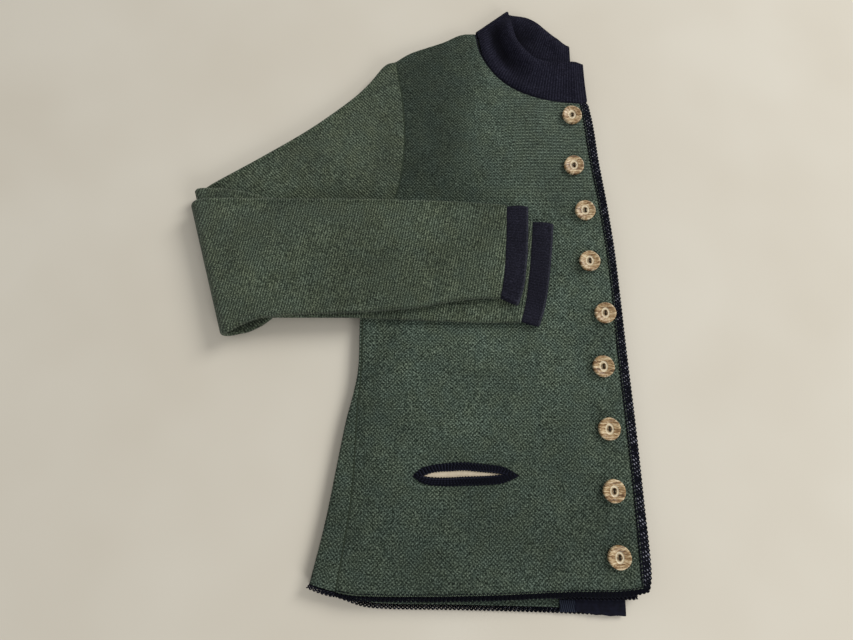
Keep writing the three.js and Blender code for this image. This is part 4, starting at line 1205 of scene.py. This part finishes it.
def garter(name, dark, body, light, lean=1.0, rows=0.2, warp=0.8, chest_rows_and_painted_light=False, sheen=0.04):
    """Knit in ridges of slanting loops, which lean one way or the other by patches, of heathered
    wool. The tops of the loops are painted lighter and the gaps between them painted in shade.
    Where the flag for the body is set, the rows show clearest over the chest, the chest gets a
    painted highlight, and the shoulder and the lowest part are painted in shade."""
    p = Paint(name, roughness=0.95, sheen=sheen, specular=0.06)
    plain_u, plain_v = p.uv()
    v = p.add(plain_v, p.sway(p.noise(9, 2), warp))
    u = p.add(plain_u, p.sway(p.noise(6, 2), 1.2 * warp))
    ridge = p.wave(v)
    slant = p.ramp(p.noise(7, 2), [(0.42, BLACK), (0.58, WHITE)])
    one, other = p.wave(p.add(u, v)), p.wave(p.add(v, p.times(u, -1)))
    loops = p.add(one, p.times(slant, p.add(other, p.times(one, -1))))
    loops = p.times(p.add(p.times(loops, 0.4), p.times(p.times(one, other), 0.8)), lean)
    ridge = p.times(ridge, rows)
    if chest_rows_and_painted_light:
        right = p.ramp(p.times(plain_u, 0.01), [(0.2, BLACK), (0.36, WHITE)])
        high = p.ramp(p.times(plain_v, 0.005), [(0.46, BLACK), (0.58, WHITE)])
        chest = p.times(right, high)
        loops = p.times(loops, p.add(1.0, p.times(chest, -0.3)))
        ridge = p.add(ridge, p.sway(p.wave(v), p.times(chest, 0.7)))
    raised = p.add(p.add(loops, ridge), -0.4 * lean - 0.5 * rows)
    fibre, speck = p.noise(0.7, 3), p.noise(1.2, 1)
    # the tops of the loops painted lighter and the gaps between them painted in shade, over heathered
    # fibres and specks
    tone = p.total(p.times(raised, 0.38), 0.5, p.sway(fibre, 1.0), p.sway(speck, 1.5))
    colour = p.ramp(tone, [(0.08, dark), (0.5, body), (1.0, light)])
    patches = p.ramp(p.noise(15, 3), [(0.36, BLACK), (0.64, WHITE)])
    colour = p.mix(0.4, colour, p.mix(patches, WARM, COOL), "MULTIPLY")
    colour = p.clouded(colour, 50, 3, 0.2)
    if chest_rows_and_painted_light:
        # painted shade over the shoulder and the lowest part, and a painted highlight over the chest
        left = p.ramp(p.times(plain_u, 0.01), [(0.1, WHITE), (0.3, BLACK)])
        low = p.ramp(p.times(plain_v, 0.005), [(0.1, WHITE), (0.34, BLACK)])
        painted_shade = p.add(p.times(p.times(left, high), 0.52), p.times(low, 0.27))
        colour = p.mix(painted_shade, colour, dark)
        # the painted highlight over the chest
        colour = p.mix(p.times(chest, 0.08), colour, light)
    return p.finish(colour, p.add(raised, p.times(speck, 0.8)), 0.45)


def ribbed(name, dark, body, light, depth=0.3, shaded_hollows=()):
    """Fine, soft rib, its ribs along v. Each hollow is a pair of ramps, along u and along v, in
    which the colour is painted in shade towards the dark colour."""
    p = Paint(name, roughness=0.95, sheen=0.0, specular=0.04)
    plain_u, v = p.uv()
    u = p.add(plain_u, p.sway(p.noise(5, 2), 0.25))
    rib = p.wave(u)
    stitch = p.wave(p.add(p.times(v, 1.6), p.times(p.math("FLOOR", p.add(u, 0.5)), 0.5)))
    raised = p.add(p.times(rib, 0.7), p.times(p.times(rib, stitch), 0.3))
    fibre, speck = p.noise(0.5, 4), p.noise(1.2, 2)
    shade = p.times(p.add(raised, -0.43), depth)
    tone = p.total(0.5, shade, p.sway(fibre, 0.7), p.sway(speck, 0.9))
    colour = p.ramp(tone, [(0.1, dark), (0.5, body), (1.0, light)])
    colour = p.clouded(colour, 22, 2, 0.15)
    # painted shade in the collar's trough and recess
    for along, across in shaded_hollows:
        ramps = []
        for value, stops in ((p.times(plain_u, 0.01), along), (p.times(v, 1 / 11.5), across)):
            ramps.append(p.ramp(value, [(where, grey(shade)) for where, shade in stops]))
        colour = p.mix(p.times(p.times(*ramps), 0.8), colour, dark)
    return p.finish(colour, p.add(p.times(raised, depth * 2), p.times(fibre, 0.4)), 0.3)


def spun(name, dark, body, light, twist=1.6, glint=None, glint_end=None):
    """Plied yarn, with its plies' slant and loose fibres. A glint is a painted highlight, a pale
    fleck once a stitch where the yarn turns over, up to the stitch glint_end."""
    p = Paint(name, roughness=0.9, sheen=0.0, specular=0.06)
    u, v = p.uv()
    plies = p.wave(p.add(p.times(u, 2), p.times(v, 1 / twist)))
    fibre = p.noise(0.45, 4)
    tone = p.add(p.times(plies, 0.6), p.times(p.add(fibre, -0.3), 0.5))
    colour = p.ramp(tone, [(0.1, dark), (0.5, body), (1.0, light)])
    # painted highlights: pale flecks where the yarn turns over
    if glint:
        turned = p.times(p.wave(p.add(v, 0.12)), p.math("POWER", p.wave(p.add(u, -0.22)), 6.0))
        turned = p.add(turned, p.sway(p.noise(5, 2), 0.7))
        shown = p.ramp(turned, [(0.92, BLACK), (1.0, WHITE)])
        if glint_end:
            end = 0.5 / glint_end
            shown = p.times(shown, p.ramp(p.times(v, end), [(0.485, WHITE), (0.5, BLACK)]))
        colour = p.mix(shown, colour, glint)
    return p.finish(colour, p.add(plies, p.times(fibre, 0.4)), 0.3)


def woven(name, dark, body, light, thread_mm=0.5):
    """Plain weave."""
    p = Paint(name, roughness=0.85, sheen=0.0, specular=0.1)
    u, v = p.uv()
    scale = STITCH / thread_mm / 2
    checks = p.add(
        p.times(p.wave(p.times(u, scale)), 0.5),
        p.times(p.wave(p.add(p.times(v, scale), 0.5)), 0.5),
    )
    soft = p.noise(4, 3)
    tone = p.add(p.times(checks, 0.5), p.times(soft, 0.5))
    colour = p.ramp(tone, [(0.2, dark), (0.5, body), (0.85, light)])
    return p.finish(colour, checks, 0.15)


def antler(name, grain, seed):
    """Polished antler: pale and brown streaks along its grain, paler at the rim and where it is
    carved."""
    p = Paint(name, roughness=0.42, specular=0.45)
    uv = p.node("UVMap", uv_map="knit")
    place = {"Location": (seed * 1.7, seed * 0.9, seed), "Rotation": (0, 0, -grain)}
    turned = p.node("Mapping", {"Vector": uv, "Scale": (0.7, 4.2, 1), **place})
    soft = {"Detail": 5.0, "Roughness": 0.6, "Distortion": 0.6}
    streaks = p.node("TexNoise", {"Vector": turned, "Scale": 1.5, **soft})
    fine = p.node("TexNoise", {"Vector": turned, "Scale": 6.0, "Detail": 3.0})
    x, y = p.uv()
    r = p.math("SQRT", p.add(p.times(x, x), p.times(y, y)))
    away = p.node("CombineXYZ", {0: p.math("DIVIDE", x, r), 1: p.math("DIVIDE", y, r), 2: p.times(r, 0.3)})
    rays = p.node("TexNoise", {"Vector": away, "Scale": 5.0 + seed * 0.2, "Detail": 3.0})
    tone = p.add(p.times(streaks, 0.65), p.add(p.times(fine, 0.35), p.times(rays, 0.12)))
    colour = p.ramp(
        tone,
        [
            (0.42, srgb(62, 42, 24)),
            (0.5, srgb(112, 80, 46)),
            (0.57, srgb(152, 124, 84)),
            (0.66, srgb(206, 188, 154)),
        ],
    )
    wide, tall = (p.times(a, BUTTON_RADIUS / half) for a, half in zip((x, y), CARVED_OVAL))
    oval = p.math("SQRT", p.add(p.times(wide, wide), p.times(tall, tall)))
    ring = p.math("ABSOLUTE", p.add(oval, -1.0))
    carved = p.ramp(ring, [(0.1, WHITE), (0.3, BLACK)])
    colour = p.mix(p.times(carved, 0.7), colour, srgb(226, 216, 188))
    inner = p.ramp(oval, [(0.55, WHITE), (0.8, BLACK)])
    colour = p.mix(p.times(inner, 0.6), colour, srgb(56, 48, 34))
    flecks = p.ramp(p.add(p.times(r, 0.6), p.times(rays, 0.6)), [(0.86, BLACK), (0.94, WHITE)])
    colour = p.mix(p.times(flecks, 0.6), colour, srgb(216, 202, 174))
    return p.finish(colour, p.add(streaks, p.times(fine, 0.5)), 0.12)


WARM, COOL = srgb(255, 252, 230), srgb(234, 244, 246)
# ramps for the painted shade in the front collar's trough and the back collar's recess
TROUGH_SHADE = (
    [(0.2, 0), (0.34, 1), (0.46, 1), (0.53, 0)],
    [(0.26, 0), (0.42, 1), (0.56, 1), (0.74, 0)],
)
RECESS_SHADE = (
    [(0.54, 0), (0.57, 1), (0.64, 1), (0.78, 0)],
    [(0.1, 0.7), (0.3, 1), (0.5, 1), (0.8, 0)],
)
GREEN = garter("green_wool", srgb(18, 25, 20), srgb(61, 73, 64), srgb(120, 134, 121), chest_rows_and_painted_light=True)
SLEEVE_GREEN = garter(
    "green_wool_sleeve", srgb(19, 25, 19), srgb(56, 66, 54), srgb(116, 127, 110),
    lean=0.3, rows=0.85, warp=0.4, sheen=0.09,
)
SEAM_GREEN = spun("green_seam", srgb(24, 31, 25), srgb(54, 64, 52), srgb(84, 95, 80), 1.0)
NAVY = ribbed("navy_rib", srgb(6, 6, 10), srgb(24, 24, 35), srgb(58, 58, 73), 0.22, [TROUGH_SHADE, RECESS_SHADE])
CUFF_NAVY = ribbed("navy_cuff", srgb(8, 8, 12), srgb(27, 27, 36), srgb(54, 54, 68), 0.1)
# the roll's navy is lighter than the cuff's: a painted highlight where the roll catches the light
NAVY_ROLL_LIT = ribbed("navy_roll_lit", srgb(16, 16, 22), srgb(42, 43, 52), srgb(80, 82, 92), 0.2)
# the last colour given to a crochet is its painted highlight
CROCHET = spun(
    "navy_crochet", srgb(6, 7, 11), srgb(18, 19, 28), srgb(42, 44, 58), 0.5, srgb(120, 122, 138)
)
PLAIN_CROCHET = spun("navy_plain_crochet", srgb(7, 8, 13), srgb(21, 22, 33), srgb(46, 48, 64), 0.5)
FRONT_CROCHET = spun(
    "navy_front_crochet", srgb(6, 7, 11), srgb(18, 19, 28), srgb(42, 44, 58), 0.5, srgb(150, 152, 166), 127
)
EDGING = spun("navy_edging", srgb(9, 9, 14), srgb(27, 28, 38), srgb(62, 62, 76), 0.5)
SELVEDGE = spun("green_selvedge", srgb(46, 56, 46), srgb(84, 96, 82), srgb(124, 136, 118))
CREAM = woven("cream_lining", srgb(184, 170, 147), srgb(203, 190, 167), srgb(218, 206, 186))
TAPE = woven("navy_tape", srgb(5, 5, 11), srgb(13, 14, 25), srgb(30, 33, 52))
HEM_GREEN = spun("green_hem", srgb(16, 18, 26), srgb(33, 38, 50), srgb(60, 66, 82), 3.0)
THREAD = spun("button_thread", srgb(16, 15, 13), srgb(54, 48, 38), srgb(120, 110, 88), 0.8)

# ---------------------------------------------------------------- assembly


def dress(piece, material, slot, *nodes):
    piece.data.materials.append(material)
    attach(piece, "root")
    if nodes:
        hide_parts(*nodes)
    return piece


front = dress(right_front(), GREEN, "green_knit", "right_front")
back_piece = dress(back(), GREEN, "green_knit", "back")
left = dress(left_front(), GREEN, "green_knit", "left_front")
right_arm = dress(
    sleeve("right_sleeve_knit", RIGHT_UPPER_ARM, RIGHT_FOREARM, INNER_FOLD, UPPER_ARM_PUFFS, [], True),
    SLEEVE_GREEN, "green_knit", "right_sleeve",
)
left_arm = dress(
    sleeve("left_sleeve_knit", LEFT_UPPER_ARM, LEFT_FOREARM, OUTER_FOLD, [], FOREARM_PUFFS, False),
    SLEEVE_GREEN, "green_knit", "left_sleeve",
)
for side, ends, radius in (("right", RIGHT_CUFF, INNER_FOLD), ("left", LEFT_CUFF, OUTER_FOLD)):
    rib, roll = cuff(f"{side}_cuff", ends, radius)
    dress(rib, CUFF_NAVY, "navy_knit", f"{side}_cuff")
    dress(roll, NAVY_ROLL_LIT, "navy_knit")
neck = dress(collar(), NAVY, "navy_knit", "collar")

front_trim = dress(
    crochet(
        "right_front_crochet",
        front_band(RIGHT_FRONT_EDGE, RIGHT_TRIM_EDGE, RIGHT_HEM, RIGHT_HEM_EDGE),
        FRONT_MIDDLE + 0.2, front_height, teeth=-1,
    ),
    FRONT_CROCHET, "navy_crochet", "right_front_trim",
)
left_trim = dress(
    crochet(
        "left_front_crochet",
        front_band(LEFT_FRONT_EDGE, LEFT_TRIM_EDGE, LEFT_HEM, LEFT_HEM_EDGE),
        LEFT_MIDDLE, rise, samples=6,
    ),
    CROCHET, "navy_crochet", "left_front_trim",
)


def back_crochet(name, middle):
    band = hem_band(BACK_HEM, BACK_HEM_EDGE)
    return crochet(name, band, middle, rise, samples=6, levels=(0.04, 0.38, 0.72))


back_trim = dress(back_crochet("back_hem_crochet", UPPER_BACK), EDGING, "navy_crochet", "back_hem_trim")
lower_back_trim = dress(back_crochet("back_hem_crochet_under", LOWER_BACK), EDGING, "navy_crochet")
wrap_trim = dress(
    crochet("side_hem_crochet", hem_band(WRAP_HEM, WRAP_HEM_EDGE), FRONT_MIDDLE, rise, samples=6),
    EDGING, "navy_crochet",
)


def seam(name, line, height, depth, radius, material, slot="green_knit"):
    """A strand of yarn along a line, its middle this deep in the right front's upper face."""
    path = np.column_stack([line, height(*line.T, FRONT_HIGH - depth)])
    dress(yarn(name, [(path, radius)]), material, slot)


front_outline = resample(joined(RIGHT_FRONT_EDGE[::-1], RIGHT_HEM[::-1]), 700)
seam("right_front_selvedge", shifted(front_outline, -0.1), front_height, 0.1, 0.55, SELVEDGE)
seam("armhole_seam", resample(curve(ARMHOLE), 260), rise, 0.8, 1.0, SEAM_GREEN)
seam("side_seam", resample(curve(SIDE_SEAM), 300), rise, 1.0, 0.9, SEAM_GREEN)
neck_line = [(68.1, 258.6), *RIGHT_NECK[1:], (178.2, 182)]
seam("neck_seam", resample(curve(neck_line), 300), front_height, 1.0, 1.0, EDGING, "navy_knit")

pocket_band = Band(lens(SLIT), lens(POCKET_EDGING), POCKET_PITCH)
pocket_ring = dress(
    crochet(
        "pocket_crochet", pocket_band, FRONT_HIGH - 0.4, front_height, 1.05, teeth=1, closed=True,
        levels=(0.12, 0.34, 0.54),
    ),
    PLAIN_CROCHET, "navy_crochet", "pocket_trim",
)
lining = dress(
    swatch("pocket_lining_cloth", 8, 92, -183.5, -163.5, FRONT_LOW - 1.9, 0.8, front_height, 2.6),
    CREAM, "lining", "pocket_lining",
)
facing = dress(
    swatch("left_front_tape", 141, 181.5, -286.2, -274.4, 2.9, 1.2, edge=FACING_EDGE),
    TAPE, "navy_crochet", "left_front_facing",
)
dress(swatch("left_front_tape_end", 128, 141.5, -283.2, -274.4, 2.8, 0.9), HEM_GREEN, "green_knit")

for index in range(BUTTON_COUNT):
    disc, ties, grain = button(index, 40 + index)
    dress(disc, antler(f"antler_{index + 1}", grain, index), "antler", f"button_{index + 1}")
    dress(ties, THREAD, "antler")

# ---------------------------------------------------------------- table, light and camera

bpy.ops.mesh.primitive_plane_add(size=4)
floor = bpy.context.object
floor.name = "floor"
table = Paint("pale_table", roughness=0.7, specular=0.2)
haze = table.noise(160, 2)
tone = table.ramp(haze, [(0.35, srgb(203, 197, 184)), (0.65, srgb(208, 203, 191))])
floor.data.materials.append(table.finish(tone, table.noise(1.2, 3), 0.02))

world = bpy.data.worlds.new("studio")
bpy.context.scene.world = world
world.use_nodes = True
world.node_tree.nodes["Background"].inputs[0].default_value = (1, 0.985, 0.965, 1)
world.node_tree.nodes["Background"].inputs[1].default_value = 0.5


def area_light(name, place, aim, size, power, colour):
    light = bpy.data.lights.new(name, "AREA")
    light.shape = "DISK"
    light.size = size
    light.energy = power
    light.color = colour
    made = bpy.data.objects.new(name, light)
    bpy.context.scene.collection.objects.link(made)
    made.location = place
    made.rotation_euler = (Vector(aim) - Vector(place)).to_track_quat("-Z", "Y").to_euler()


area_light("key", (2.6, 1.9, 2.1), (0, 0, 0), 1.6, 102, (1, 0.985, 0.95))
area_light("fill", (1.0, -1.5, 1.0), (0.2, -0.2, 0), 0.8, 12, (1, 0.99, 0.97))

camera = bpy.data.cameras.new("camera")
camera.lens = 20.3
camera.sensor_width = 36
view = bpy.data.objects.new("camera", camera)
bpy.context.scene.collection.objects.link(view)
view.location = (0.01835, -0.125, 0.438)
view.rotation_euler = (math.radians(11.2), 0, 0)
bpy.context.scene.camera = view
bpy.context.scene.view_settings.view_transform = "Standard"
